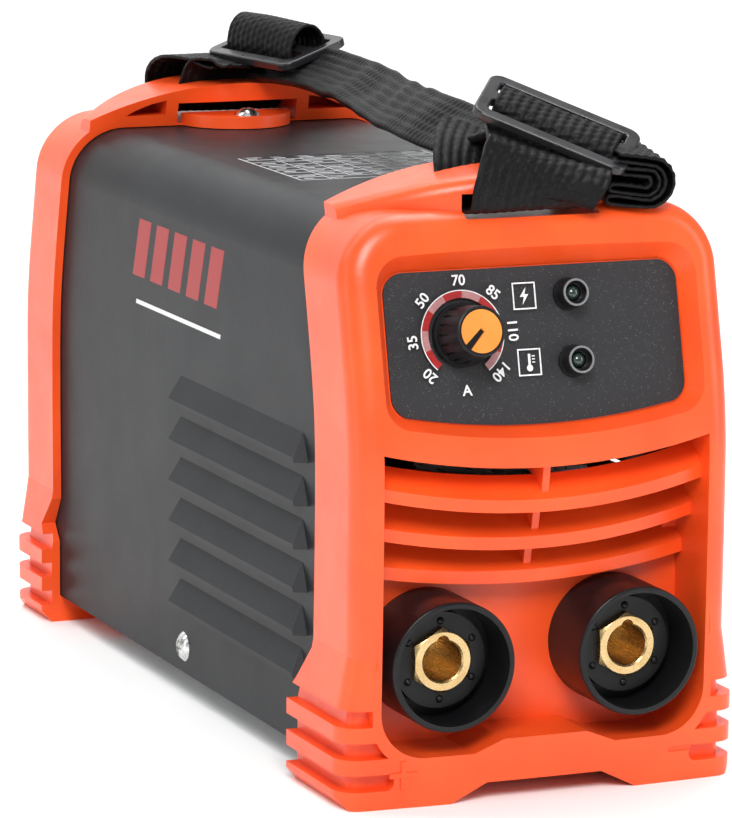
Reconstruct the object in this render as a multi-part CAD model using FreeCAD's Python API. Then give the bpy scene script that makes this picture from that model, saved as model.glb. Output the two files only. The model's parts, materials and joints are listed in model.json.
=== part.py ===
import FreeCAD, Part
import math
import os

# Portable stick welding inverter. Millimetres, +Z up, +X to the right seen from the front.
# The front faces -Y. The origin is on the ground, under the middle of the machine.

vec = FreeCAD.Vector
axisX = vec(1, 0, 0)
axisY = vec(0, 1, 0)
axisZ = vec(0, 0, 1)

# driving sizes
overallLength = 320.0          # between the crowns of the two plastic bezels
coverWidth = 121.0             # outside of the sheet cover
coverTop = 179.0               # outer top of the sheet cover above the ground
coverBottom = 9.0
coverCorner = 18.0             # outer radius of the cover's top edges
sheetThickness = 1.0
coverGap = 0.3                 # slip clearance between sheet and bezel
bezelWall = 3.0
bandDepth = 36.0               # how far each bezel reaches along the machine
footDepth = 49.0               # the front feet reach further back
rearFootDepth = 35.0
ribProud = 3.9                 # lower corner ribs outside the bezel's side
faceEdgeRadius = 8.0
faceBow = 860.0                # plan radius of each bezel's face
faceStraight = 100.0           # the face starts leaning back above this height
faceLeanRadius = 150.0
faceLean = math.radians(13.5)
humpRise = 11.5                # strap arch above the bezel top
humpHalfChord = 55.0
humpSetback = 16.5             # from the face's crown back to the arch
archEdgeRadius = 5.0
shellBack = -60.0              # the bezels are modelled up to here
tabProud = 1.2                 # screw tab above the bezel top
strapWidth = 40.0
strapThickness = 1.8
panelDepth = 8.0               # depth of the pocket that holds the control panel
panelHalfWidth = 50.0
panelLow = 117.0
panelHigh = 165.0
panelMiddle = 143.0            # height at which the panel is set out
panelThickness = 0.8
recessHalfWidth = 55.0
recessLow = 15.5
recessHigh = 111.0
recessDepth = 24.5             # from the face's crown to the wall that carries the sockets
socketSpread = 31.5
socketHeight = 43.6
socketRadius = 20.5
socketLength = 23.8
socketBoreRadius = 6.5         # 13 mm pin of a 35-50 mm2 cable plug
socketBoreLength = 24.0
cupWall = 1.9
neckRadius = 13.6              # threaded rear end of a socket
contactNeck = 1.5              # brass wall round the bore
contactFlats = 18.5            # across the hexagon
contactDepth = 9.0             # from the cup's rim back to the brass hexagon
leadDepth = 0.5                # chamfer at the bore's mouth
dialX = -25.0
dialHeight = 144.5
knobRadius = 10.0
knobHeight = 15.5
knobGap = 0.6                  # air between knob and panel
shaftRadius = 3.0
runningGap = 0.05              # radial clearance of turning fits
lampX = 12.0
lampHeights = (134.5, 155.3)
lampRadius = 4.25
louvreCount = 6
louvrePitch = 13.8
louvreHeight = 10.0
louvreLow = 31.6
louvreSetback = 49.5           # from the face's crown to the louvres
louvreLength = 118.0
louvreProud = 4.0
rearPocketDepth = 12.5
fanSize = 80.0
fanDepth = 25.0
fanHeight = 72.0
fanBladeCount = 7
switchX = -27.0
switchHeight = 140.0
rockerTilt = 10.0
glandX = 27.0
glandHeight = 140.0
glandBoreRadius = 4.75         # 9.5 mm rubber mains cable
glandLength = 15.5             # out of the rear wall
coverEnds = (24.5, 22.0)       # from the crowns back to the sheet's front and rear edges
fanScrewInset = 4.25
boardHalfWidth = 55.0
boardScrewX = 50.0
boardEnds = (66.0, 54.0)       # from the crowns to the board's front and rear edges
boardScrewEnds = (74.0, 62.0)
tabScrewSetback = 62.0
coverScrewY = -0.4
coverScrewHeight = 17.9
boardLow = 18.0
boardThickness = 1.6

# sizes that follow
halfLength = overallLength / 2
bezelHalfWidth = coverWidth / 2 + coverGap + bezelWall
bezelTop = coverTop + coverGap + bezelWall
bezelCorner = coverCorner + coverGap + bezelWall
humpTop = bezelTop + humpRise
humpRadius = (humpHalfChord ** 2 + humpRise ** 2) / (2 * humpRise)
floorTop = coverBottom + sheetThickness
ribHalfWidth = bezelHalfWidth + ribProud
recessBack = -halfLength + recessDepth
farFront = -halfLength - 20    # clear of the face, where cutters start
louvreFront = -halfLength + louvreSetback
louvreRear = louvreFront + louvreLength
sheetFront = -halfLength + coverEnds[0]
sheetRear = halfLength - coverEnds[1]
boardTop = boardLow + boardThickness
rearWall = halfLength - rearPocketDepth
wallInside = rearWall - bezelWall


def box(x0, x1, y0, y1, z0, z1):
    return Part.makeBox(x1 - x0, y1 - y0, z1 - z0, vec(x0, y0, z0))


def rod(radius, start, end):
    start = vec(*start)
    way = vec(*end) - start
    return Part.makeCylinder(radius, way.Length, start, way)


def tube(outer, inner, start, end):
    return rod(outer, start, end).cut(rod(inner, start, end))


def fuse(shapes):
    whole = shapes[0]
    if len(shapes) > 1:
        whole = whole.fuse(shapes[1:])
    return whole.removeSplitter()


def prism(points, way):
    corners = [vec(*p) for p in points]
    return Part.Face(Part.makePolygon(corners + corners[:1])).extrude(vec(*way))


def mirrorX(shape):
    return shape.mirror(vec(0, 0, 0), axisX)


def roundedFace(x0, x1, z0, z1, y, lowRadius, highRadius):
    """Upright rectangle in the XZ plane with rounded lower and upper corners."""
    edges = []
    corners = (
        ((x0, z0), lowRadius, 180),
        ((x1, z0), lowRadius, 270),
        ((x1, z1), highRadius, 0),
        ((x0, z1), highRadius, 90),
    )
    ends = []
    for (x, z), radius, start in corners:
        cx = x + radius if x == x0 else x - radius
        cz = z + radius if z == z0 else z - radius
        arc = []
        for turn in (0, 45, 90):
            angle = math.radians(start + turn)
            arc.append(vec(cx + radius * math.cos(angle), y, cz + radius * math.sin(angle)))
        ends.append(arc)
    for index, arc in enumerate(ends):
        if arc[0].distanceToPoint(arc[2]) > 0.01:
            edges.append(Part.Arc(*arc).toShape())
        edges.append(Part.makeLine(arc[2], ends[(index + 1) % 4][0]))
    return Part.Face(Part.Wire(edges))


def hexPrism(acrossFlats, start, end, pointUp=True):
    start = vec(*start)
    way = vec(*end) - start
    side = vec(0, 0, 1) if abs(way.z) < abs(way.Length) * 0.9 else vec(1, 0, 0)
    other = way.cross(side)
    other.normalize()
    radius = acrossFlats / math.sqrt(3)
    shift = 90 if pointUp else 60
    points = []
    for step in range(6):
        angle = math.radians(shift + 60 * step)
        points.append(start + side * (radius * math.sin(angle)) + other * (radius * math.cos(angle)))
    return Part.Face(Part.makePolygon(points + points[:1])).extrude(way)


def facePoint(height):
    """Y of the front face's crown line at a height."""
    crown = -halfLength
    if height <= faceStraight:
        drop = (faceStraight - height) / faceStraight
        return crown + 1.8 * drop * drop
    bendTop = faceStraight + faceLeanRadius * math.sin(faceLean)
    if height <= bendTop:
        return crown + faceLeanRadius - math.sqrt(faceLeanRadius ** 2 - (height - faceStraight) ** 2)
    return crown + faceLeanRadius * (1 - math.cos(faceLean)) + (height - bendTop) * math.tan(faceLean)


def faceSolid(offset, back):
    """Everything behind the bowed, leaning front face, moved inwards by an offset."""
    low = -20.0
    high = humpTop + 30
    heights = [low, 45.0, faceStraight]
    bendTop = faceStraight + faceLeanRadius * math.sin(faceLean)
    lower = Part.Arc(*[vec(0, facePoint(h) + offset, h) for h in heights]).toShape()
    middle = (faceStraight + bendTop) / 2
    bend = Part.Arc(*[vec(0, facePoint(h) + offset, h) for h in (faceStraight, middle, bendTop)]).toShape()
    top = Part.makeLine(vec(0, facePoint(bendTop) + offset, bendTop), vec(0, facePoint(high) + offset, high))
    pivot = -halfLength + faceBow
    highEnd = vec(0, facePoint(high) + offset, high)
    lowEnd = vec(0, facePoint(low) + offset, low)
    closing = Part.makePolygon([highEnd, vec(0, pivot, high), vec(0, pivot, low), lowEnd])
    profile = Part.Face(Part.Wire([lower, bend, top] + closing.Edges))
    profile.rotate(vec(0, pivot, 0), axisZ, -12)
    disc = profile.revolve(vec(0, pivot, 0), axisZ, 24)
    reach = ribHalfWidth + 22
    return disc.common(box(-reach, reach, -halfLength - 40, back, low, high))


def outlineFace(inset, y, lift=0.0):
    """Front view outline of a bezel: rounded top, straight sides, flared lower corners, two feet."""
    w = bezelHalfWidth - inset
    t = bezelTop - inset
    r = bezelCorner - inset
    k = math.sqrt(0.5) * r
    rib = ribHalfWidth - inset
    foot = lift
    mid = 6.0 + lift
    flare = ((w, 48), (rib - 1.4, 33), (rib, 26), (rib, 4 + lift), (rib - 3.5, foot))
    right = [vec(x, y, z) for x, z in flare + ((31.5, foot), (19.5, mid))]
    left = [vec(-p.x, p.y, p.z) for p in right]
    edges = [
        Part.Arc(vec(w, y, t - r), vec(w - r + k, y, t - r + k), vec(w - r, y, t)).toShape(),
        Part.makeLine(vec(w - r, y, t), vec(-w + r, y, t)),
        Part.Arc(vec(-w + r, y, t), vec(-w + r - k, y, t - r + k), vec(-w, y, t - r)).toShape(),
    ]
    lower = Part.makePolygon([vec(-w, y, t - r)] + left + right[::-1] + [vec(w, y, t - r)])
    return Part.Face(Part.Wire(edges + lower.Edges))


def shellSolid(inset, radius):
    """A bezel's solid envelope, face towards -Y, open towards +Y."""
    bar = outlineFace(inset, farFront).extrude(vec(0, -farFront, 0))
    solid = bar.common(faceSolid(inset, shellBack))
    return roundFront(solid, radius)


def roundFront(solid, radius):
    """Round the edge between the face and the sides, top and feet."""
    edges = []
    for edge in solid.Edges:
        bound = edge.BoundBox
        wholeWidth = bound.XLength > bezelHalfWidth * 1.9
        if bound.YMax < -halfLength * 0.85 and bound.ZMax > 8 and not wholeWidth:
            edges.append(edge)
    return solid.makeFillet(radius, edges)


def bandCut(depth, lowDepth, lowTop):
    """Everything behind a bezel's curved open edge; below lowTop the feet reach lowDepth back."""
    heights = (lowTop + 12, 60.0, faceStraight, faceStraight + 18, faceStraight + 35, 160.0, humpTop + 20)
    side = -ribHalfWidth - 22
    points = [vec(side, facePoint(h) + depth, h) for h in heights]
    curve = Part.BSplineCurve()
    curve.interpolate(points)
    footY = -halfLength + lowDepth
    last = points[-1]
    first = points[0]
    foot = ((footY + 3, -5), (footY, 4), (footY, lowTop - 4), (footY - 5, lowTop + 2))
    corners = [vec(side, 0, last.z), vec(side, 0, -5)] + [vec(side, y, z) for y, z in foot]
    rest = Part.makePolygon([last] + corners + [first])
    return Part.Face(Part.Wire([curve.toShape()] + rest.Edges)).extrude(vec(-2 * side, 0, 0))


def humpSolid():
    """Arched bar over the bezel top that the carrying strap loops round."""
    base = bezelTop - 6
    half = humpHalfChord
    y = farFront
    start = vec(-half, y, bezelTop)
    end = vec(half, y, bezelTop)
    arc = Part.Arc(start, vec(0, y, humpTop), end).toShape()
    sides = Part.makePolygon([end, vec(half, y, base), vec(-half, y, base), start])
    arch = Part.Face(Part.Wire([arc] + sides.Edges)).extrude(vec(0, 100, 0))
    front = -halfLength + humpSetback
    bow = 25.0
    back = -halfLength + 70
    left = vec(-half, front + bow, base)
    right = vec(half, front + bow, base)
    nose = Part.Arc(left, vec(0, front, base), right).toShape()
    tail = Part.makePolygon([right, vec(half, back, base), vec(-half, back, base), left])
    plan = Part.Face(Part.Wire([nose] + tail.Edges)).extrude(vec(0, 0, 60))
    arch = arch.common(plan)
    rim = []
    for edge in arch.Edges:
        bound = edge.BoundBox
        if bound.XLength > half * 1.8 and bound.YLength > 5 and bound.ZMax > bezelTop + 2:
            rim.append(edge)
    return arch.makeFillet(archEdgeRadius, rim)


def cornerGrooves(outer):
    """Three grooves that wrap each lower corner and leave four ribs."""
    core = shellSolid(3.8, faceEdgeRadius - 3.8)
    skin = outer.cut(core)
    cutters = []
    for low in (6.0, 16.2, 26.4):
        for side in (-1, 1):
            inner = side * (bezelHalfWidth - 10.8)
            outside = side * (ribHalfWidth + 7.3)
            slab = box(min(inner, outside), max(inner, outside), farFront, farFront + 90, low, low + 5.2)
            nose = rod(2.6, (inner, farFront, low + 2.6), (inner, -halfLength + 30, low + 2.6))
            cutters.append(slab.fuse(nose).common(skin))
    return cutters


def bezelShell(lowDepth):
    """Hollow bezel with arch and ribbed corners, face towards -Y."""
    outer = shellSolid(0.0, faceEdgeRadius)
    grooves = cornerGrooves(outer)
    corner = bezelCorner - bezelWall
    half = bezelHalfWidth - bezelWall
    room = roundedFace(-half, half, coverBottom - 0.3, bezelTop - bezelWall, farFront, 1.0, corner)
    room = room.extrude(vec(0, -farFront, 0)).common(faceSolid(bezelWall, shellBack))
    padOut = bezelHalfWidth + 0.7
    padIn = bezelHalfWidth - 13.8
    pads = [box(x, y, -halfLength, -halfLength + 15, 8, 36) for x, y in ((-padOut, -padIn), (padIn, padOut))]
    body = outer.cut(room)
    body = body.fuse([pad.common(outer) for pad in pads] + [humpSolid().cut(room)])
    body = body.cut(bandCut(bandDepth, lowDepth, 33.0))
    slotHalf = strapWidth / 2 + 2.5
    slot = box(-slotHalf, slotHalf, farFront, -halfLength + 70, bezelTop - 2.4, bezelTop + 5.0)
    return body.cut(grooves + [slot]).removeSplitter(), outer


def onPanel(shape):
    """Place something modelled against an upright panel at y = 0 onto the leaning panel."""
    shape = shape.copy()
    shape.rotate(vec(0, 0, 0), axisX, -math.degrees(faceLean))
    shape.translate(vec(0, facePoint(panelMiddle) + panelDepth / math.cos(faceLean), panelMiddle))
    return shape


def pocketWire(y, grow):
    """Panel outline with rounded corners and a bowed lower edge, grown outwards."""
    w = panelHalfWidth + grow
    top = panelHigh - panelMiddle + grow
    low = panelLow - panelMiddle + 2.5 - grow
    r = 7.0 + grow * 0.6
    k = r * (1 - math.sqrt(0.5))
    bow = 4.0
    lowLeft = [vec(-w, y, low + r), vec(-w + k, y, low + k), vec(-w + r, y, low)]
    lowRight = [vec(w - r, y, low), vec(w - k, y, low + k), vec(w, y, low + r)]
    highRight = [vec(w, y, top - r), vec(w - k, y, top - k), vec(w - r, y, top)]
    highLeft = [vec(-w + r, y, top), vec(-w + k, y, top - k), vec(-w, y, top - r)]
    edges = [
        Part.Arc(*lowLeft).toShape(),
        Part.Arc(lowLeft[2], vec(0, y, low - bow), lowRight[0]).toShape(),
        Part.Arc(*lowRight).toShape(),
        Part.makeLine(lowRight[2], highRight[0]),
        Part.Arc(*highRight).toShape(),
        Part.makeLine(highRight[2], highLeft[0]),
        Part.Arc(*highLeft).toShape(),
        Part.makeLine(highLeft[2], lowLeft[0]),
    ]
    return Part.Wire(edges)


def pocketSolid(extra):
    """Flared pocket in front of the control panel, or its outer wall when extra is set."""
    return onPanel(Part.makeLoft([pocketWire(extra, extra), pocketWire(-16, 10.0 + extra)], True, True))


def recessFace(grow):
    """Opening below the panel: bowed lintel, round lower corners, raised middle of the sill."""
    y = farFront
    w = recessHalfWidth + grow
    top = recessHigh + grow
    low = recessLow - grow
    mid = low + 4.0
    r = 15.0
    k = r * (1 - math.sqrt(0.5))
    edges = [
        Part.Arc(vec(-w, y, top), vec(0, y, top - 6.5), vec(w, y, top)).toShape(),
        Part.makeLine(vec(w, y, top), vec(w, y, low + r)),
        Part.Arc(vec(w, y, low + r), vec(w - k, y, low + k), vec(w - r, y, low)).toShape(),
        Part.makeLine(vec(w - r, y, low), vec(24, y, low)),
        Part.makeLine(vec(24, y, low), vec(14, y, mid)),
        Part.makeLine(vec(14, y, mid), vec(-14, y, mid)),
        Part.makeLine(vec(-14, y, mid), vec(-24, y, low)),
        Part.makeLine(vec(-24, y, low), vec(-w + r, y, low)),
        Part.Arc(vec(-w + r, y, low), vec(-w + k, y, low + k), vec(-w, y, low + r)).toShape(),
        Part.makeLine(vec(-w, y, low + r), vec(-w, y, top)),
    ]
    return Part.Face(Part.Wire(edges))


def bowedBand(ends, bow, way):
    """Strip between two bowed edges, each given by its left end; way extrudes it."""
    edges = []
    for left in ends:
        right = vec(-left.x, left.y, left.z)
        edges.append(Part.Arc(left, vec(0, left.y, left.z) + bow, right).toShape())
    for side in (1, -1):
        corners = [vec(side * left.x, left.y, left.z) for left in ends]
        edges.append(Part.makeLine(*corners))
    return Part.Face(Part.Wire(Part.sortEdges(edges)[0])).extrude(way)


def vane(setback, below, arcDrop, depth):
    """One sloping air vane, set back from the crown, its lip's top below the recess top."""
    half = recessHalfWidth + 1.5
    thick = 4.0
    bow = 5.0
    rise = 0.8
    run = 20
    endY = -halfLength + setback
    top = recessHigh - below - run * rise
    upper = vec(-half, endY - run, top)
    lower = vec(-half, endY - run, top - thick)
    slab = bowedBand((upper, lower), vec(0, 0, -arcDrop), vec(0, 50, 50 * rise))
    front = vec(-half, endY, 0)
    back = vec(-half, endY + depth, 0)
    return slab.common(bowedBand((front, back), vec(0, -bow, 0), vec(0, 0, recessHigh + 60)))


def gusset(setback, lipBelow, topBelow):
    """Small triangular web between a vane's lip and the bar above it."""
    lipY = -halfLength + setback
    lipZ = recessHigh - lipBelow
    topZ = recessHigh - topBelow
    outline = ((lipY + 1, lipZ), (lipY - 1, topZ), (lipY + 13, topZ), (lipY + 13, lipZ + 9))
    return prism([(-1.2, y, z) for y, z in outline], (2.4, 0, 0))


def plusAndMinus():
    """Raised polarity marks beside the feet."""
    y0 = -halfLength
    marks = []
    for side, arms in ((-1, ((9.0, 1.6), (1.6, 9.0))), (1, ((9.0, 1.6),))):
        for wide, high in arms:
            x = side * 47.5
            marks.append(box(x - wide / 2, x + wide / 2, y0, y0 + 8, 10.6 - high / 2, 10.6 + high / 2))
    return marks


def socketCentres():
    return [(-socketSpread, socketHeight), (socketSpread, socketHeight)]


def bezelScrewPlaces():
    return [(x, y) for x in (-24.0, 24.0) for y in (-halfLength + 36, halfLength - 45)]


def frontBezel():
    body, outer = bezelShell(footDepth)
    run = recessBack - farFront
    recessOuter = recessFace(2.7).extrude(vec(0, run + 2.5, 0)).common(outer)
    body = body.fuse([pocketSolid(2.5).common(outer), recessOuter])
    body = body.cut([pocketSolid(0.0), recessFace(0.0).extrude(vec(0, run, 0))])
    half = recessHalfWidth - 5
    ventSlot = box(-half, half, recessBack - 2, recessBack + 4, recessHigh - 37, recessHigh - 10)
    half = recessHalfWidth - 2
    lintelFront = -halfLength + 10.5
    lintelSlot = box(-half, half, lintelFront, recessBack + 4, recessHigh - 14, recessHigh + 2.2)
    body = body.cut([ventSlot, lintelSlot])
    vanes = [vane(7.6, 10.4, 2.6, 8.0), vane(14.6, 23.6, 2.4, 13.0), vane(20.5, 36.8, 1.0, 13.0)]
    webs = [gusset(4, 17, 5), gusset(11, 29, 19), gusset(16.5, 40.5, 31)]
    opening = recessFace(1.0).extrude(vec(0, run + 2.5, 0))
    body = body.fuse([shape.common(opening) for shape in vanes + webs])
    cutters = dialHoles()
    for x, z in socketCentres():
        cutters.append(rod(neckRadius + 0.4, (x, recessBack - 15, z), (x, recessBack + 15, z)))
    skin = faceSolid(-0.5, shellBack).cut(faceSolid(0.6, shellBack))
    marks = [mark.common(skin) for mark in plusAndMinus()]
    body = body.fuse(marks[:2]).cut(cutters + bezelScrewHoles(-1))
    return body.cut(marks[2:]).removeSplitter()


def bezelScrewHoles(side):
    holes = []
    for x, y in bezelScrewPlaces():
        if y * side > 0:
            holes.append(rod(2.2, (x, y, 4), (x, y, 11)))
            holes.append(rod(3.8, (x, y, 4), (x, y, 7.6)))
    return holes


def dialHoles():
    """Bores through the pocket floor for the control shaft and the two lamps."""
    z = dialUp()
    holes = [onPanel(rod(shaftRadius + 0.8, (dialX, -5, z), (dialX, 8, z)))]
    for x, z in lampPlaces():
        holes.append(onPanel(rod(lampRadius - 0.8, (x, -5, z), (x, 8, z))))
    return holes


def rearBezel():
    body, outer = bezelShell(rearFootDepth)
    wallY = -halfLength + rearPocketDepth
    well = roundedFace(-53, 53, 17, 168, farFront, 10, 14)
    casing = roundedFace(-56, 56, 14, 171, farFront, 12, 16)
    run = wallY - farFront
    body = body.fuse(casing.extrude(vec(0, run + bezelWall, 0)).common(outer))
    body = body.cut(well.extrude(vec(0, run, 0)))
    grille = []
    for ring in range(5):
        inner = 9.0 + ring * 5.8
        grille.append(tube(inner + 3.6, inner, (0, wallY - 1, fanHeight), (0, wallY + 5, fanHeight)))
    near = wallY - 1
    far = wallY + 5
    reach = fanHeight + 40
    upright = box(-2, 2, near, far, fanHeight - 40, reach)
    level = box(-40, 40, near, far, fanHeight - 2, fanHeight + 2)
    body = body.cut([ring.cut([upright, level]) for ring in grille])
    switchHole = box(-10.6, 10.6, near, far, switchHeight - 13.2, switchHeight + 13.2)
    switchHole.translate(vec(-switchX, 0, 0))
    glandHole = rod(10.2, (-glandX, near, glandHeight), (-glandX, far, glandHeight))
    body = body.cut([switchHole, glandHole] + fanScrewHoles(wallY))
    earY = -halfLength + 49
    ear = rod(20.0, (0, earY, bezelTop - 3), (0, earY, bezelTop + tabProud))
    ear = ear.common(box(-20, 20, earY, earY + 31, 0, humpTop + 40))
    screwY = -halfLength + tabScrewSetback
    body = body.fuse(ear).cut(rod(2.2, (0, screwY, coverTop - 4), (0, screwY, bezelTop + 4)))
    body = body.cut([archPocket(), mirrorX(archPocket())])
    lip = box(-54, 54, -halfLength + 34, -halfLength + 68, 5.2, coverBottom - 0.3)
    body = body.fuse(lip).removeSplitter()
    body.rotate(vec(0, 0, 0), axisZ, 180)
    return body.cut(bezelScrewHoles(1))


def archPocket():
    """Relief in the left end of the rear arch."""
    y = farFront + 10
    low = bezelTop + 1
    outer = vec(-42, y, low)
    inner = vec(-27, y, bezelTop + 6.2)
    web = Part.Arc(outer, vec(-34, y, bezelTop + 4.6), inner).toShape()
    sides = Part.makePolygon([inner, vec(-27, y, low), outer])
    pocket = Part.Face(Part.Wire([web] + sides.Edges)).extrude(vec(0, 90, 0))
    return pocket.common(box(-60, 60, -halfLength + 36, -halfLength + 70, 0, humpTop))


def fanScrewPlaces():
    offset = fanSize / 2 - fanScrewInset
    return [(x, fanHeight + z) for x in (-offset, offset) for z in (-offset, offset)]


def fanScrewHoles(wallY):
    return [rod(2.2, (x, wallY - 2, z), (x, wallY + 6, z)) for x, z in fanScrewPlaces()]


def louvreHood(low):
    """Pressed hood, open at its lower edge, and the slot behind it."""
    x0 = -coverWidth / 2

    def frustum(inset):
        front = louvreFront + inset
        rear = louvreRear - inset
        high = low + louvreHeight - inset
        base = ((front, low), (rear, low), (rear - 5, high), (front + 5, high))
        rim = ((front + 2.5, low), (rear - 2.5, low), (rear - 3.2, low + 1.4), (front + 3.2, low + 1.4))
        wires = []
        for x, points in ((x0 + sheetThickness * 0.5, base), (x0 - louvreProud + inset, rim)):
            corners = [vec(x, y, z) for y, z in points]
            wires.append(Part.makePolygon(corners + corners[:1]))
        return Part.makeLoft(wires, True, True)

    return frustum(0.0), frustum(0.8)


def cover():
    """Folded U-shaped sheet with louvres pressed into both sides."""
    w = coverWidth / 2
    t = sheetThickness
    run = vec(0, sheetRear - sheetFront, 0)
    outer = roundedFace(-w, w, coverBottom - 40, coverTop, sheetFront, 1.0, coverCorner).extrude(run)
    inner = roundedFace(-w + t, w - t, coverBottom - 42, coverTop - t, sheetFront, 1.0, coverCorner - t)
    sheet = outer.cut(inner.extrude(run))
    sheet = sheet.common(box(-coverWidth, coverWidth, sheetFront, sheetRear, coverBottom, coverTop))
    hoods = []
    hollows = []
    for index in range(louvreCount):
        low = louvreLow + index * louvrePitch
        hood, hollow = louvreHood(low)
        hoods += [hood, mirrorX(hood)]
        slot = box(-w - 0.1, -w + t + 1, louvreFront + 6, louvreRear - 6, low + 0.6, low + 7)
        hollows += [hollow, mirrorX(hollow), slot, mirrorX(slot)]
    sheet = sheet.fuse(hoods).cut(hollows)
    holes = []
    for x in (-w - 3, w - 3):
        holes.append(rod(2.2, (x, coverScrewY, coverScrewHeight), (x + 6, coverScrewY, coverScrewHeight)))
    screwY = halfLength - tabScrewSetback
    holes.append(rod(2.2, (0, screwY, coverTop - 5), (0, screwY, coverTop + 5)))
    return sheet.cut(holes).removeSplitter()


def basePlate():
    """Steel tray under the electronics with side flanges inside the cover."""
    x = coverWidth / 2 - sheetThickness
    tray = box(-x, x, sheetFront, sheetRear, coverBottom, floorTop)
    for side in (-1, 1):
        low, high = sorted((side * (x - sheetThickness), side * x))
        tray = tray.fuse(box(low, high, sheetFront, sheetRear, coverBottom, 26))
        start = (side * (x - 3), coverScrewY, coverScrewHeight)
        end = (side * (x + 3), coverScrewY, coverScrewHeight)
        tray = tray.cut(rod(1.7, start, end))
    for px, py in bezelScrewPlaces() + boardPlaces():
        tray = tray.cut(rod(1.7, (px, py, 5), (px, py, 13)))
    return tray.removeSplitter()


def trussScrew(headRadius, headHeight, shankRadius, shankLength):
    """Cross-recess screw, head up along +Z with its seat at z = 0."""
    ball = (headRadius ** 2 + headHeight ** 2) / (2 * headHeight)
    dome = Part.makeSphere(ball, vec(0, 0, headHeight - ball))
    dome = dome.common(rod(headRadius, (0, 0, 0), (0, 0, headHeight)))
    screw = dome.fuse(rod(shankRadius, (0, 0, -shankLength), (0, 0, 0.01)))
    arm = headRadius * 0.5
    slot = headRadius * 0.15
    floor = headHeight - 1.2
    cross = [box(-arm, arm, -slot, slot, floor, headHeight), box(-slot, slot, -arm, arm, floor, headHeight)]
    return screw.cut(cross)


def placed(shape, where, turnAxis=axisZ, angle=0):
    shape = shape.copy()
    shape.rotate(vec(0, 0, 0), turnAxis, angle)
    shape.translate(vec(*where))
    return shape


def group(shapes):
    return Part.makeCompound(shapes)


def coverScrews():
    w = coverWidth / 2
    screw = trussScrew(5.0, 2.4, 1.65, 5.0)
    left = placed(screw, (-w, coverScrewY, coverScrewHeight), axisY, -90)
    right = placed(screw, (w, coverScrewY, coverScrewHeight), axisY, 90)
    return group([left, right])


def tabScrew():
    screw = trussScrew(4.6, 2.6, 2.0, 8.0)
    return placed(screw, (0, halfLength - tabScrewSetback, bezelTop + tabProud))


def bezelScrews():
    screw = trussScrew(3.6, 2.0, 1.65, 7.0)
    return group([placed(screw, (x, y, 7.6), axisX, 180) for x, y in bezelScrewPlaces()])


def controlPanel():
    """Thin printed overlay that lies on the pocket floor."""
    wire = pocketWire(-panelThickness, -0.4)
    sheet = onPanel(Part.Face(wire).extrude(vec(0, panelThickness, 0)))
    return sheet.cut(dialHoles())


def dialUp():
    return dialHeight - panelMiddle


def knobBody():
    """Tapered skirted knob with a flat face that takes the pointer cap, bored for the shaft."""
    x = dialX
    z = dialUp()
    near = -panelThickness - knobGap
    far = near - knobHeight
    skirt = rod(knobRadius, (x, near - 2.2, z), (x, near, z))
    start = vec(x, near - 2.2, z)
    cone = Part.makeCone(knobRadius - 0.9, knobRadius - 2.1, knobHeight - 2.2, start, vec(0, -1, 0))
    knob = skirt.fuse(cone)
    rim = [edge for edge in knob.Edges if edge.BoundBox.YMax < far + 0.1]
    knob = knob.makeFillet(0.8, rim)
    seat = rod(knobRadius - 3.3, (x, far - 1, z), (x, far + 0.8, z))
    bore = rod(shaftRadius, (x, far + 3, z), (x, near + 1, z))
    flutes = []
    for index in range(18):
        angle = math.radians(20 * index)
        radius = knobRadius - 1.2
        px = x + radius * math.cos(angle)
        pz = z + radius * math.sin(angle)
        flutes.append(rod(0.45, (px, near - 14, pz), (px, near - 3.2, pz)))
    return onPanel(knob.cut([seat, bore] + flutes))


def knobCap():
    """Coloured disc in the knob's face, cut away for a pointer towards the lower left."""
    x = dialX
    z = dialUp()
    far = -panelThickness - knobGap - knobHeight
    disc = rod(knobRadius - 3.3, (x, far, z), (x, far + 0.8, z))
    outline = ((x - 0.8, z - 0.6), (x + 0.8, z - 0.6), (x + 1.3, z + 9), (x - 1.3, z + 9))
    pointer = prism([(px, far - 1, pz) for px, pz in outline], (0, 3, 0))
    pointer.rotate(vec(x, 0, z), axisY, -135)
    return onPanel(disc.cut(pointer))


def controlShaft():
    """Stepped control spindle from the knob into the potentiometer."""
    x = dialX
    z = dialUp()
    near = -panelThickness - knobGap
    return onPanel(rod(shaftRadius, (x, near - knobHeight + 3, z), (x, 14.0, z)))


def potentiometer():
    x = dialX
    z = dialUp()
    body = rod(8.5, (x, 7.5, z), (x, 16, z)).fuse(rod(3.4 + 0.35, (x, 2.6, z), (x, 7.6, z)))
    tags = [box(x + dx - 0.8, x + dx + 0.8, 10, 10.6, z - 13, z - 7) for dx in (-5, 0, 5)]
    bore = rod(shaftRadius + runningGap, (x, 0, z), (x, 14.05, z))
    return onPanel(fuse([body] + tags).cut(bore))


def potentiometerNut():
    x = dialX
    z = dialUp()
    nut = hexPrism(12.0, (x, 4.6, z), (x, 7.0, z)).cut(rod(3.8, (x, 4, z), (x, 8, z)))
    return onPanel(nut)


def lampPlaces():
    return [(lampX, height - panelMiddle) for height in lampHeights]


def lampHolders():
    bodies = []
    for x, z in lampPlaces():
        barrel = rod(lampRadius, (x, -panelThickness - 6.0, z), (x, -panelThickness, z))
        flange = rod(lampRadius + 0.8, (x, -panelThickness - 1.0, z), (x, -panelThickness, z))
        tail = rod(lampRadius - 0.9, (x, -panelThickness, z), (x, 9, z))
        bore = rod(2.6, (x, -12, z), (x, 6, z))
        mouth = rod(3.6, (x, -7.9, z), (x, -4.8, z))
        bodies.append(onPanel(fuse([barrel, flange, tail]).cut([bore, mouth])))
    return group(bodies)


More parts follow.
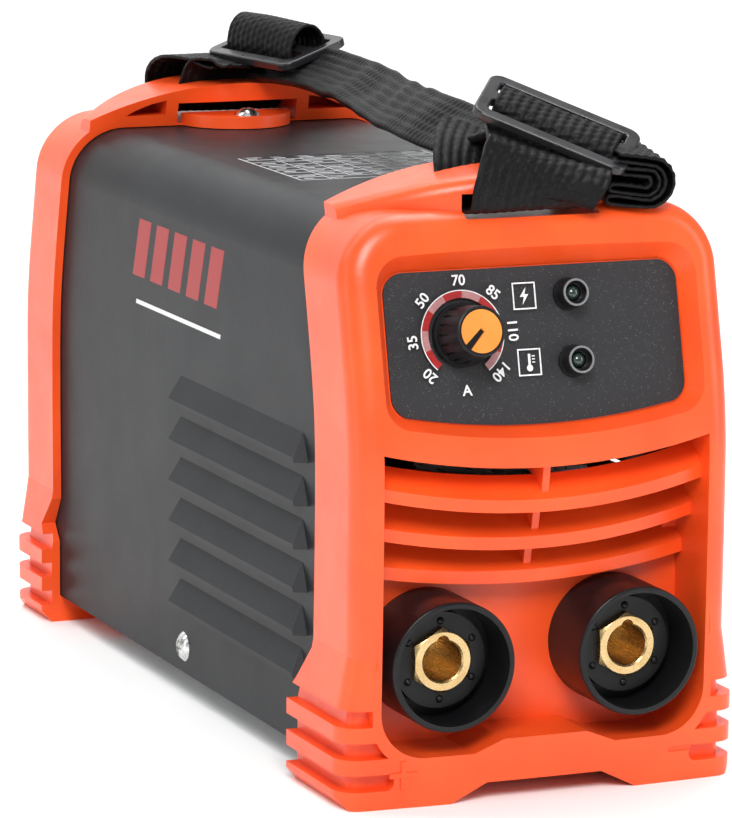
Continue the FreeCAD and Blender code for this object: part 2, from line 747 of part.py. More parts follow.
def lampRims():
    rims = []
    front = -panelThickness - 6.6
    for x, z in lampPlaces():
        rims.append(onPanel(tube(lampRadius, lampRadius - 0.65, (x, front, z), (x, front + 0.6, z))))
    return group(rims)


def lamps():
    lenses = []
    for x, z in lampPlaces():
        lens = rod(2.5, (x, -3.6, z), (x, 5.5, z)).fuse(Part.makeSphere(2.5, vec(x, -3.6, z)))
        lenses.append(onPanel(lens))
    return group(lenses)


def socketHousing(x):
    """Moulded insulating cup around an output contact."""
    front = recessBack - socketLength
    z = socketHeight
    cup = rod(socketRadius, (x, front, z), (x, recessBack, z))
    rimEdges = [edge for edge in cup.Edges if edge.BoundBox.YMax < front + 0.1]
    cup = cup.makeFillet(0.8, rimEdges)
    inside = socketRadius - cupWall
    mouth = rod(inside, (x, front - 1, z), (x, front + 11.5, z))
    ditch = tube(inside, inside - 3.4, (x, front + 11, z), (x, front + 17, z))
    neck = rod(neckRadius, (x, recessBack - 0.01, z), (x, recessBack + 12, z))
    cup = cup.cut([mouth, ditch]).fuse(neck)
    bumps = []
    for index in range(6):
        angle = math.radians(60 * index + 30)
        px = x + (contactFlats / 2 + 3.15) * math.cos(angle)
        pz = z + (contactFlats / 2 + 3.15) * math.sin(angle)
        bumps.append(Part.makeSphere(1.3, vec(px, front + 11.9, pz)))
    cup = cup.fuse(bumps)
    seat = hexPrism(contactFlats + 0.1, (x, front - 1, z), (x, front + 18, z))
    bore = rod(socketBoreRadius + contactNeck + 0.1, (x, front, z), (x, recessBack + 13, z))
    return cup.cut([seat, bore]).removeSplitter()


def socketContact(x):
    """Brass contact with a hexagon, a 13 mm bore and a keyway at twelve o'clock."""
    front = recessBack - socketLength
    z = socketHeight
    mouth = front + contactDepth
    chamfer = Part.makeCone(9.2, 12.9, 2.2, vec(x, mouth, z), axisY)
    chamfer = chamfer.fuse(rod(12.9, (x, mouth + 2.2, z), (x, front + 19, z)))
    contact = hexPrism(contactFlats, (x, mouth, z), (x, front + 18, z)).common(chamfer)
    neck = rod(socketBoreRadius + contactNeck, (x, front + 18, z), (x, recessBack + 20, z))
    stud = rod(5.0, (x, recessBack + 20, z), (x, recessBack + 30, z))
    contact = contact.fuse([neck, stud])
    bore = rod(socketBoreRadius, (x, front, z), (x, mouth + socketBoreLength, z))
    key = rod(2.1, (x, front, z + socketBoreRadius - 0.3), (x, front + 18, z + socketBoreRadius - 0.3))
    lead = Part.makeCone(socketBoreRadius + leadDepth, socketBoreRadius, leadDepth, vec(x, mouth, z), axisY)
    return contact.cut([bore, key, lead]).removeSplitter()


def socketNuts():
    nuts = []
    contactRadius = socketBoreRadius + contactNeck
    for x, z in socketCentres():
        ring = hexPrism(32.0, (x, recessBack + 4.0, z), (x, recessBack + 9.0, z), False)
        nuts.append(ring.cut(rod(neckRadius + 0.1, (x, recessBack, z), (x, recessBack + 12, z))))
        nut = hexPrism(2 * contactRadius + 1, (x, recessBack + 14.0, z), (x, recessBack + 19.0, z))
        nuts.append(nut.cut(rod(contactRadius + 0.05, (x, recessBack, z), (x, recessBack + 30, z))))
    return group(nuts)


def busbar(x):
    """Bent copper strap from the output contact down to the board."""
    z = socketHeight
    tongue = box(x - 8, x + 8, recessBack + 20.2, recessBack + 22.2, 26, z + 9)
    foot = box(x - 8, x + 8, recessBack + 20.2, recessBack + 38, 24, 26)
    return tongue.fuse(foot).cut(rod(5.2, (x, recessBack + 10, z), (x, recessBack + 40, z))).removeSplitter()


def webBand(points, half, thick, centre=0.0):
    """Flat webbing along a side-view route: slabs of one thickness with round joints."""
    pieces = []
    for (y0, z0), (y1, z1) in zip(points, points[1:]):
        length = math.hypot(y1 - y0, z1 - z0)
        slab = box(centre - half, centre + half, 0, length, -thick / 2, thick / 2)
        slab.rotate(vec(0, 0, 0), axisX, math.degrees(math.atan2(z1 - z0, y1 - y0)))
        slab.translate(vec(0, y0, z0))
        pieces.append(slab)
    for y, z in points[1:-1]:
        pieces.append(rod(thick / 2, (centre - half, y, z), (centre + half, y, z)))
    return fuse(pieces)


def loopRoute(low):
    """Side-view route of the webbing round the front arch, closed over its top."""
    top = humpTop + 1.6
    front = -halfLength + humpSetback - 2.2
    back = -halfLength + bandDepth + 21.8
    middle = (front + back) / 2
    bend = archEdgeRadius + 1.9
    pivotY = front + 2.2 + archEdgeRadius
    pivotZ = humpTop - archEdgeRadius
    diagonal = bend * math.sqrt(0.5)
    over = [(middle, top), (pivotY, pivotZ + bend)]
    over += [(pivotY - diagonal, pivotZ + diagonal), (pivotY - bend, pivotZ)]
    under = [(front, low + 1.5), (front + 1.5, low), (back - 1.0, low), (back, low + 1.0)]
    return over + under + [(back, top - 2.0), (back - 2.0, top), (middle + 2.0, top)]


def frontLoop():
    return webBand(loopRoute(bezelTop + 0.6), strapWidth / 2, strapThickness)


def rearLoop():
    """The same loop round the rear arch, lifted over the screw tab."""
    route = [(-y, z) for y, z in loopRoute(bezelTop + tabProud + 1.1)]
    return webBand(route, strapWidth / 2, strapThickness)


def strapSpan():
    """Webbing between the two loops, sagging over the cover."""
    rest = humpTop + 1.6 + strapThickness + 0.2
    front = -halfLength
    sag = [(-60, rest - 1.2), (0, rest - 1.8), (50, rest - 1.2)]
    start = [(front + 30, rest), (front + 52, rest)]
    end = [(halfLength - 56, rest), (halfLength - 32, rest)]
    return webBand(start + sag + end, strapWidth / 2, strapThickness)


def buckle(centre, along, across):
    """Three-bar slide buckle, given by its middle and its long and short directions."""
    long = strapWidth + 11
    short = 28.0
    plate = box(-long / 2, long / 2, -short / 2, short / 2, -1.5, 1.5)
    corners = [edge for edge in plate.Edges if edge.BoundBox.ZLength > 2.9]
    plate = plate.makeFillet(4.5, corners)
    windows = []
    for side in (-1, 1):
        middle = side * 6.0
        window = box(-strapWidth / 2 - 1.2, strapWidth / 2 + 1.2, middle - 3.6, middle + 3.6, -3, 3)
        windows.append(window.makeFillet(1.5, [edge for edge in window.Edges if edge.BoundBox.ZLength > 5.9]))
    plate = plate.cut(windows)
    rims = [edge for edge in plate.Edges if edge.BoundBox.ZLength < 0.01 and edge.Length > 1]
    plate = plate.makeFillet(0.7, rims)
    u = vec(*along)
    u.normalize()
    n = u.cross(vec(*across))
    n.normalize()
    v = n.cross(u)
    rows = []
    for row in zip(u, v, n, centre):
        rows += row
    return plate.transformGeometry(FreeCAD.Matrix(*rows, 0, 0, 0, 1))


def frontBuckle():
    centre = (15.2, -halfLength + 33, humpTop + 11.8)
    return buckle(centre, (0.8, -0.48, -0.36), (0.59, 0.75, 0.31))


def rearBuckle():
    centre = (13.7, halfLength - 55, humpTop + 12.2)
    return buckle(centre, (0.22, -0.97, -0.01), (0.93, 0.2, 0.3))


def ratingLabel():
    """Thin printed label on top of the cover."""
    return box(-34, 33, -37.5, 19.5, coverTop, coverTop + 0.15)


def switchBody():
    """Rocker switch: bezel frame, box behind the wall and four blade tabs."""
    x = switchX
    z = switchHeight
    y = rearWall
    frame = box(x - 13, x + 13, y, y + 2.0, z - 15.5, z + 15.5)
    rest = box(x - 10.4, x + 10.4, y - 20, y + 0.01, z - 13.0, z + 13.0)
    body = frame.fuse(rest)
    rocker = rod(12.85, (x - 8.7, rockerPivotY(), z), (x + 8.7, rockerPivotY(), z))
    well = rocker.fuse(box(x - 8.7, x + 8.7, rockerPivotY(), y + 3, z - 12.85, z + 12.85))
    pins = rod(1.5 + runningGap, (x - 9.8, rockerPivotY(), z), (x + 9.8, rockerPivotY(), z))
    body = body.cut([well.common(box(x - 9, x + 9, y - 15, y + 5, z - 14, z + 14)), pins])
    tabs = []
    for px in (x - 5, x + 5):
        for pz in (z - 7, z + 5):
            tabs.append(box(px - 0.4, px + 0.4, y - 28, y - 19.9, pz - 3.1, pz + 3.1))
    return fuse([body] + tabs)


def rockerPivotY():
    return rearWall - 4.0


def switchRocker():
    """Rocker with two hinge pins, resting in its off position."""
    x = switchX
    z = switchHeight
    y = rockerPivotY()
    disc = rod(12.6, (x - 8.4, y, z), (x + 8.4, y, z))
    outline = ((y - 3, z - 5), (y + 8.6, z - 14), (y + 6.4, z), (y + 8.6, z + 14), (y - 3, z + 5))
    keep = prism([(x - 9, py, pz) for py, pz in outline], (18, 0, 0))
    rocker = disc.common(keep).fuse(rod(1.5, (x - 9.7, y, z), (x + 9.7, y, z)))
    rocker.rotate(vec(x, y, z), axisX, rockerTilt)
    return rocker


def cableGland():
    """Screwed gland for the mains cable, with a domed cap."""
    x = glandX
    z = glandHeight
    y = rearWall
    flange = hexPrism(22.0, (x, y, z), (x, y + 4.0, z))
    dome = rod(9.6, (x, y + 3.9, z), (x, y + glandLength, z))
    rim = [edge for edge in dome.Edges if edge.BoundBox.YMin > y + glandLength - 0.1]
    dome = dome.makeFillet(2.5, rim)
    thread = rod(10.0, (x, y - 13, z), (x, y + 0.01, z))
    return fuse([flange, dome, thread]).cut(rod(glandBoreRadius, (x, y - 20, z), (x, y + 20, z)))


def glandNut():
    nut = hexPrism(24.0, (glandX, wallInside - 5.0, glandHeight), (glandX, wallInside, glandHeight))
    return nut.cut(rod(10.1, (glandX, wallInside - 10, glandHeight), (glandX, wallInside + 5, glandHeight)))


def fanFrame():
    """Square axial fan housing with a hub plate on four struts."""
    y = wallInside
    half = fanSize / 2
    z = fanHeight
    frame = roundedFace(-half, half, z - half, z + half, y - fanDepth, 4, 4).extrude(vec(0, fanDepth, 0))
    frame = frame.cut(rod(half - 2.4, (0, y - 40, z), (0, y + 5, z)))
    near = y - fanDepth
    reach = half - 1
    struts = [box(-reach, reach, near, near + 3, z - 1.6, z + 1.6)]
    struts.append(box(-1.6, 1.6, near, near + 3, z - reach, z + reach))
    hub = rod(15.0, (0, y - fanDepth, z), (0, y - fanDepth + 3.5, z))
    bush = rod(4.0, (0, y - fanDepth, z), (0, y - 12, z))
    frame = frame.fuse(struts + [hub, bush])
    holes = [rod(2.2, (px, y - 40, pz), (px, y + 5, pz)) for px, pz in fanScrewPlaces()]
    return frame.cut(holes + [rod(1.5 + runningGap, (0, y - 40, z), (0, y - 5, z))]).removeSplitter()


def fanRotor():
    """Hub cup with curved-pitch blades and its shaft."""
    y = wallInside
    z = fanHeight
    cup = rod(16.0, (0, y - 20, z), (0, y - 3, z)).cut(rod(14.4, (0, y - 21, z), (0, y - 5, z)))
    shaft = rod(1.5, (0, y - fanDepth + 0.5, z), (0, y - 3, z))
    blades = []
    for index in range(fanBladeCount):
        blade = box(-0.8, 0.8, -8.5, 8.5, 15.2, fanSize / 2 - 3.6)
        blade.rotate(vec(0, 0, 0), axisZ, 38)
        blade.translate(vec(0, y - 11.5, 0))
        blade.rotate(vec(0, 0, 0), axisY, 360.0 / fanBladeCount * index)
        blade.translate(vec(0, 0, z))
        blades.append(blade.common(rod(fanSize / 2 - 3.4, (0, y - 21, z), (0, y - 3, z))))
    return fuse([cup, shaft] + blades)


def fanScrews():
    screw = trussScrew(3.8, 2.0, 1.9, 31.0)
    return group([placed(screw, (x, rearWall, z), axisX, -90) for x, z in fanScrewPlaces()])


def boardPlaces():
    ends = (-halfLength + boardScrewEnds[0], halfLength - boardScrewEnds[1])
    return [(x, y) for x in (-boardScrewX, boardScrewX) for y in ends]


def boardStandoffs():
    posts = []
    for x, y in boardPlaces():
        posts.append(hexPrism(6.0, (x, y, floorTop), (x, y, boardLow)).cut(rod(1.6, (x, y, 5), (x, y, 30))))
    return group(posts)


def boardScrews():
    screw = trussScrew(2.9, 1.8, 1.5, 5.0)
    return group([placed(screw, (x, y, boardTop)) for x, y in boardPlaces()])


def mainBoard():
    front = -halfLength + boardEnds[0]
    rear = halfLength - boardEnds[1]
    board = box(-boardHalfWidth, boardHalfWidth, front, rear, boardLow, boardTop)
    return board.cut([rod(1.7, (x, y, 5), (x, y, 30)) for x, y in boardPlaces()])


def heatSink(side):
    """Finned extrusion: back plate along the machine and fins reaching inwards."""
    low = boardTop
    plate = box(36, 40, -76, 30, low, low + 84)
    fins = [box(39.9, 52, -76, 30, low + 5 * k, low + 5 * k + 1.6) for k in range(17)]
    sink = plate.fuse(fins).removeSplitter()
    return sink if side > 0 else mirrorX(sink)


def powerDevices():
    """Plastic power packages clamped to the heat sinks, with three legs each."""
    devices = []
    for side in (-1, 1):
        for y in (-64, -42, -20, 2):
            near = 31.4
            body = box(near, 36, y, y + 15.6, 42, 62)
            legs = []
            for leg in range(3):
                start = y + 2.2 + 5.4 * leg
                legs.append(box(near + 1.6, near + 2.4, start, start + 1.2, boardTop, 42.01))
            device = fuse([body] + legs)
            devices.append(device if side > 0 else mirrorX(device))
    return group(devices)


def busCapacitors():
    """Snap-in electrolytic cans."""
    low = boardTop
    cans = []
    for x, y in ((-34, 52), (0, 52), (34, 52)):
        can = rod(15.0, (x, y, low), (x, y, low + 45))
        rim = [edge for edge in can.Edges if edge.BoundBox.ZMin > low + 44]
        can = can.makeFillet(1.6, rim)
        cans.append(can.cut(tube(12.6, 11.8, (x, y, low + 44.4), (x, y, low + 46))))
    return group(cans)


def transformerCore():
    low = boardTop
    windows = [box(x, x + 8, -61, -17, low + 9, low + 49) for x in (-14.5, 6.5)]
    return box(-21, 21, -60, -18, low + 2, low + 56).cut(windows)


def transformerWinding():
    low = boardTop
    return box(-14.3, 14.3, -68, -10, low + 9.2, low + 48.8).cut(box(-6.7, 6.7, -60.2, -17.8, low, low + 70))


def outputChoke():
    low = boardTop
    return tube(17.0, 8.0, (0, 2, low + 18), (0, 18, low + 18))


def relay():
    low = boardTop
    return box(-44, -26, 76, 104, low, low + 20)


def inputBridge():
    low = boardTop
    return box(24, 52, 76, 80, low, low + 28)


def lineChoke():
    low = boardTop
    return tube(13.0, 6.5, (0, 86, low), (0, 86, low + 14))


def filmCapacitors():
    low = boardTop
    return group([box(-14, 14, -92, -82, low, low + 20), box(-50, -28, 70, 73, low, low + 15)])


def controlBoard():
    """Upright board behind the panel that carries the potentiometer and lamps."""
    board = box(-44, 44, 16.2, 17.8, -20, 20)
    return onPanel(board.cut([rod(3.2, (x, 10, z), (x, 25, z)) for x, z in lampPlaces()]))


def main():
    os.makedirs("parts", exist_ok=True)
    nodes = {
        "front_bezel": frontBezel(), "rear_bezel": rearBezel(), "cover": cover(), "base_plate": basePlate(),
        "cover_screws": coverScrews(), "tab_screw": tabScrew(), "bezel_screws": bezelScrews(),
        "control_panel": controlPanel(), "current_knob": knobBody(), "knob_cap": knobCap(),
        "control_shaft": controlShaft(),
        "potentiometer": potentiometer(), "potentiometer_nut": potentiometerNut(),
        "lamp_holders": lampHolders(), "lamp_rims": lampRims(), "lamps": lamps(),
        "negative_socket": socketHousing(socketSpread), "positive_socket": socketHousing(-socketSpread),
        "negative_contact": socketContact(socketSpread), "positive_contact": socketContact(-socketSpread),
        "negative_busbar": busbar(socketSpread), "positive_busbar": busbar(-socketSpread),
        "socket_nuts": socketNuts(),
        "front_strap_loop": frontLoop(), "rear_strap_loop": rearLoop(), "carrying_strap": strapSpan(),
        "front_buckle": frontBuckle(), "rear_buckle": rearBuckle(),
        "rating_label": ratingLabel(), "switch_body": switchBody(), "switch_rocker": switchRocker(),
        "cable_gland": cableGland(), "gland_nut": glandNut(),
        "fan_frame": fanFrame(), "fan_rotor": fanRotor(), "fan_screws": fanScrews(),
        "main_board": mainBoard(), "board_standoffs": boardStandoffs(), "board_screws": boardScrews(),
        "left_heat_sink": heatSink(-1), "right_heat_sink": heatSink(1), "power_devices": powerDevices(),
        "bus_capacitors": busCapacitors(), "transformer_core": transformerCore(),
        "transformer_winding": transformerWinding(), "output_choke": outputChoke(), "relay": relay(),
        "input_bridge": inputBridge(), "line_choke": lineChoke(), "film_capacitors": filmCapacitors(),
        "control_board": controlBoard(),
    }
    for name, shape in nodes.items():
        shape.exportStep("parts/" + name + ".step")
        print(name, shape.isValid(), len(shape.Solids))


main()
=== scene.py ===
import json
import math
import bpy
import bmesh
from mathutils import Matrix, Vector, noise


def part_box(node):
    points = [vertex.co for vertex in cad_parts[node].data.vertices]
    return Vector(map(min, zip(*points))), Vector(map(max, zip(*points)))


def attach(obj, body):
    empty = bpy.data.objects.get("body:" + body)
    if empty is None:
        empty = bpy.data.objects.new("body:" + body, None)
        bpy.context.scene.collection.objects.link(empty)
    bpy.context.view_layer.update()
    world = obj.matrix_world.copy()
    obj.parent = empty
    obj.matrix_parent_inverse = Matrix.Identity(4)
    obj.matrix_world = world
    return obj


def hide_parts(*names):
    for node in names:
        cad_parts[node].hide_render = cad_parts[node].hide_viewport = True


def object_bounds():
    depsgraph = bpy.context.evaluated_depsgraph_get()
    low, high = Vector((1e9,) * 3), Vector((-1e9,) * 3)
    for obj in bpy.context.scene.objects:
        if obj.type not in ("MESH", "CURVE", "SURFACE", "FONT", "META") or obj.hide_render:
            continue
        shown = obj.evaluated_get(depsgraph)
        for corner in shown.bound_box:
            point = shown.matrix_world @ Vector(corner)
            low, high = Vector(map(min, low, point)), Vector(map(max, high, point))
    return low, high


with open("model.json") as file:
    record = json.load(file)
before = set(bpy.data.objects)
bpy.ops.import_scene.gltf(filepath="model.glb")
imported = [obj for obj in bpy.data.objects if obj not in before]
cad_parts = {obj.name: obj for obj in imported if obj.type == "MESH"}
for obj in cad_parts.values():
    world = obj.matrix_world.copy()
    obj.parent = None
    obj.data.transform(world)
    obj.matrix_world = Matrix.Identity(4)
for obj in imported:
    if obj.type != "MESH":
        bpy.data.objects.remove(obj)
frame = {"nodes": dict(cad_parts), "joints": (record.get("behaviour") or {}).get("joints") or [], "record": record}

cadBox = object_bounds()
nodes = frame["nodes"]
mm = 0.001


# stage, light and camera

stage = {
    "floorSize": 8.0,
    "backdropDistance": 3.0,
    "backdropHeight": 5.0,
    "floorColour": (0.93, 0.93, 0.925, 1),
    "skyColour": (0.97, 0.98, 1.0, 1),
    "skyStrength": 0.34,
}

softLights = [
    {"name": "key", "place": (-0.7, -1.6, 1.5), "size": (0.9, 0.9), "power": 42},
    {"name": "fill", "place": (1.7, -1.3, 0.7), "size": (0.5, 1.5), "power": 11},
    {"name": "side", "place": (-2.0, -0.1, 0.5), "size": (0.5, 1.6), "power": 5},
    {"name": "edge", "place": (-1.1, 0.5, 1.5), "size": (0.25, 1.6), "power": 6},
    {"name": "top", "place": (0.5, 0.3, 2.0), "size": (1.0, 1.0), "power": 16},
    {"name": "wall", "place": (0.0, 1.6, 3.2), "size": (3.0, 0.6), "power": 70, "aim": (0, 3.0, 0.8)},
]

shot = {
    "azimuth": -22.8,
    "elevation": 10.4,
    "roll": 0.5,
    "distance": 1.630,
    "target": (0.0018, -0.0080, 0.0962),
    "lens": 213.6,
}


def plainSurface(name, colour, roughness):
    material = bpy.data.materials.new(name)
    material.use_nodes = True
    shader = material.node_tree.nodes["Principled BSDF"]
    shader.inputs["Base Color"].default_value = colour
    shader.inputs["Roughness"].default_value = roughness
    return material


def stagePlane(name, width, height, place):
    bm = bmesh.new()
    bmesh.ops.create_grid(bm, x_segments=1, y_segments=1, size=0.5)
    bmesh.ops.scale(bm, vec=(width, height, 1), verts=bm.verts)
    bmesh.ops.transform(bm, matrix=place, verts=bm.verts)
    mesh = bpy.data.meshes.new(name)
    bm.to_mesh(mesh)
    bm.free()
    plane = bpy.data.objects.new(name, mesh)
    bpy.context.collection.objects.link(plane)
    mesh.materials.append(plainSurface(name + "_finish", stage["floorColour"], 0.8))


def buildStage():
    size = stage["floorSize"]
    stagePlane("floor", size, size, Matrix.Translation((0, 0, cadBox[0].z)))
    upright = Matrix.Translation((0, stage["backdropDistance"], stage["backdropHeight"] / 2))
    stagePlane("backdrop", size, stage["backdropHeight"], upright @ Matrix.Rotation(math.pi / 2, 4, "X"))
    world = bpy.data.worlds.new("studio")
    world.use_nodes = True
    background = world.node_tree.nodes["Background"]
    background.inputs["Color"].default_value = stage["skyColour"]
    background.inputs["Strength"].default_value = stage["skyStrength"]
    bpy.context.scene.world = world
    for look in softLights:
        lamp = bpy.data.lights.new(look["name"], "AREA")
        lamp.shape = "RECTANGLE"
        lamp.size, lamp.size_y = look["size"]
        lamp.energy = look["power"]
        holder = bpy.data.objects.new(look["name"] + "_light", lamp)
        aim = Vector(look.get("aim", (0, 0, 0.1))) - Vector(look["place"])
        turn = aim.to_track_quat("-Z", "Y").to_matrix().to_4x4()
        holder.matrix_world = Matrix.Translation(look["place"]) @ turn
        bpy.context.collection.objects.link(holder)
    bpy.context.scene.view_settings.view_transform = "Standard"


def buildCamera():
    turn = math.radians(shot["azimuth"])
    lift = math.radians(shot["elevation"])
    roll = math.radians(shot["roll"])
    back = Vector((math.sin(turn) * math.cos(lift), -math.cos(turn) * math.cos(lift), math.sin(lift)))
    right = Vector((math.cos(turn), math.sin(turn), 0))
    up = back.cross(right)
    right, up = math.cos(roll) * right + math.sin(roll) * up, math.cos(roll) * up - math.sin(roll) * right
    place = Vector(shot["target"]) + back * shot["distance"]
    camera = bpy.data.objects.new("camera", bpy.data.cameras.new("camera"))
    camera.data.lens = shot["lens"]
    camera.data.sensor_width = 36
    camera.data.clip_start = 0.05
    camera.matrix_world = Matrix((
        (right.x, up.x, back.x, place.x),
        (right.y, up.y, back.y, place.y),
        (right.z, up.z, back.z, place.z),
        (0, 0, 0, 1),
    ))
    bpy.context.collection.objects.link(camera)
    bpy.context.scene.camera = camera


buildStage()
buildCamera()
print("stage, lights and camera are up")


# finishes

def rgb(colour):
    return (colour[0], colour[1], colour[2], 1)


class Finish:
    # a material being built: its tree, its shader and the place that its patterns read
    def __init__(self, name, look, space="Object"):
        self.material = bpy.data.materials.new(name)
        self.material.use_nodes = True
        self.tree = self.material.node_tree
        self.shader = self.tree.nodes["Principled BSDF"]
        self.place = self.add("ShaderNodeTexCoord").outputs[space]
        fixed = {
            "Metallic": look.get("metal", 0.0),
            "Roughness": look.get("roughness", 0.5),
            "IOR": look.get("ior", 1.47),
            "Specular IOR Level": look.get("specular", 0.5),
            "Coat Weight": look.get("coat", 0.0),
            "Coat Roughness": look.get("coatRoughness", 0.2),
        }
        for socket, value in fixed.items():
            self.shader.inputs[socket].default_value = value
        self.shader.inputs["Base Color"].default_value = rgb(look["colour"])

    def add(self, kind):
        return self.tree.nodes.new(kind)

    def join(self, source, target):
        self.tree.links.new(source, target)

    def stretched(self, scale):
        mapping = self.add("ShaderNodeMapping")
        mapping.inputs["Scale"].default_value = scale
        self.join(self.place, mapping.inputs["Vector"])
        return mapping.outputs["Vector"]

    def cloud(self, size, detail=2.0, place=None):
        # soft noise whose blotches are about size metres across
        cloud = self.add("ShaderNodeTexNoise")
        cloud.inputs["Scale"].default_value = 1 / size
        cloud.inputs["Detail"].default_value = detail
        self.join(place or self.place, cloud.inputs["Vector"])
        return cloud.outputs["Fac"]

    def speckle(self, size, low, high):
        # round grains: 1 in the middle of a few cells, 0 elsewhere
        cells = self.add("ShaderNodeTexVoronoi")
        cells.inputs["Scale"].default_value = 1 / size
        self.join(self.place, cells.inputs["Vector"])
        return self.span(cells.outputs["Distance"], low, high, 1, 0)

    def span(self, source, low, high, newLow, newHigh):
        spread = self.add("ShaderNodeMapRange")
        for socket, value in (("From Min", low), ("From Max", high), ("To Min", newLow), ("To Max", newHigh)):
            spread.inputs[socket].default_value = value
        self.join(source, spread.inputs["Value"])
        return spread.outputs["Result"]

    def mix(self, factor, first, second):
        ramp = self.add("ShaderNodeMix")
        ramp.data_type = "RGBA"
        self.join(factor, ramp.inputs["Factor"])
        for socket, colour in (("A", first), ("B", second)):
            wanted = [s for s in ramp.inputs if s.name == socket and s.type == "RGBA"][0]
            if isinstance(colour, tuple):
                wanted.default_value = rgb(colour)
            else:
                self.join(colour, wanted)
        return [s for s in ramp.outputs if s.type == "RGBA"][0]

    def tint(self, colour):
        self.join(colour, self.shader.inputs["Base Color"])

    def rough(self, source):
        self.join(source, self.shader.inputs["Roughness"])

    def bump(self, height, depth, strength=1.0, under=None):
        relief = self.add("ShaderNodeBump")
        relief.inputs["Strength"].default_value = strength
        relief.inputs["Distance"].default_value = depth
        self.join(height, relief.inputs["Height"])
        if under:
            self.join(under, relief.inputs["Normal"])
        self.join(relief.outputs["Normal"], self.shader.inputs["Normal"])
        return relief.outputs["Normal"]


def mouldedPlastic(name, look):
    # satin moulding: fine spark-eroded grain, soft flow marks and a slightly uneven shine
    made = Finish(name, look)
    drift = made.cloud(look.get("driftSize", 0.03), 3)
    made.tint(made.mix(made.span(drift, 0.35, 0.65, 0, 1), look["shade"], look["colour"]))
    handling = made.cloud(look.get("handlingSize", 0.012), 5)
    rough = look["roughness"]
    made.rough(made.span(handling, 0.3, 0.7, rough - look["uneven"], rough + look["uneven"]))
    waves = made.bump(made.cloud(0.018, 1), look.get("waveDepth", 0.00015), 0.35)
    made.bump(made.cloud(look["grainSize"], 2), look["grainDepth"], look.get("grainStrength", 0.5), waves)
    return made.material


def powderCoat(name, look):
    # satin powder coat with orange peel, fine mica grain and faint rubbing
    made = Finish(name, look)
    drift = made.cloud(0.05, 4)
    grain = made.cloud(0.0007, 2)
    base = made.mix(made.span(drift, 0.3, 0.7, 0, 1), look["shade"], look["colour"])
    made.tint(made.mix(made.span(grain, 0.60, 0.74, 0, 0.55), base, look["fleck"]))
    made.rough(made.span(made.cloud(0.02, 6), 0.3, 0.7, look["roughness"] - 0.02, look["roughness"] + 0.03))
    peel = made.bump(made.cloud(0.0021, 1), 0.00006, 0.35)
    made.bump(grain, 0.00003, 0.35, peel)
    return made.material


def metal(name, look):
    # turned or brushed metal: fine streaks along one axis and a light tarnish
    made = Finish(name, dict(look, metal=1.0))
    streaks = made.cloud(look["streakSize"], 3, made.stretched(look.get("streakWay", (1, 1, 1))))
    tarnish = made.cloud(look.get("tarnishSize", 0.004), 4)
    made.tint(made.mix(made.span(tarnish, 0.35, 0.7, 0, 1), look["colour"], look["shade"]))
    made.rough(made.span(streaks, 0.3, 0.7, look["roughness"] - 0.08, look["roughness"] + 0.1))
    made.bump(streaks, look.get("streakDepth", 0.00002), 0.4)
    return made.material


def printedFilm(name, look):
    # dark fine-textured film with a light speckle
    made = Finish(name, look)
    dots = made.speckle(0.00062, 0.10, 0.24)
    patchy = made.span(made.cloud(0.0016, 2), 0.45, 0.62, 0, 1)
    both = made.add("ShaderNodeMath")
    both.operation = "MULTIPLY"
    made.join(dots, both.inputs[0])
    made.join(patchy, both.inputs[1])
    made.tint(made.mix(both.outputs["Value"], look["colour"], look["fleck"]))
    made.rough(made.span(made.cloud(0.01, 4), 0.3, 0.7, look["roughness"] - 0.05, look["roughness"] + 0.06))
    made.bump(made.cloud(0.0004, 1), 0.00003, 0.5)
    return made.material


def printedInk(name, look):
    made = Finish(name, look)
    patch = made.cloud(0.0011, 3)
    made.tint(made.mix(made.span(patch, 0.3, 0.62, 0, 1), look["shade"], look["colour"]))
    made.rough(made.span(patch, 0.3, 0.7, look["roughness"] - 0.05, look["roughness"] + 0.08))
    return made.material


def clearLens(name, look):
    made = Finish(name, look)
    made.rough(made.span(made.cloud(0.002, 2), 0.3, 0.7, 0.05, 0.14))
    made.bump(made.cloud(0.0012, 1), 0.00005, 0.3)
    return made.material


def wovenFabric(name, look):
    # polypropylene webbing: dark valleys, a painted glint on the yarn backs and fine filaments along each yarn;
    # the glint is a painted highlight, lighter streaks put into the base colour along the yarns
    made = Finish(name, look, "UV")
    filamentsAndGlint = made.cloud(0.09, 2, made.stretched((9.0, 1.1, 1)))
    fibres = made.cloud(0.35, 3)
    tone = made.mix(made.span(fibres, 0.35, 0.68, 0, 1), look["shade"], look["colour"])
    # painted glint: a painted highlight, lighter streaks mixed into the base colour along each yarn
    made.tint(made.mix(made.span(filamentsAndGlint, 0.56, 0.72, 0, 0.8), tone, look["paintedGlint"]))
    made.rough(made.span(filamentsAndGlint, 0.3, 0.7, look["roughness"] + 0.12, look["roughness"] - 0.12))
    made.bump(filamentsAndGlint, 0.00012, 0.6)
    return made.material


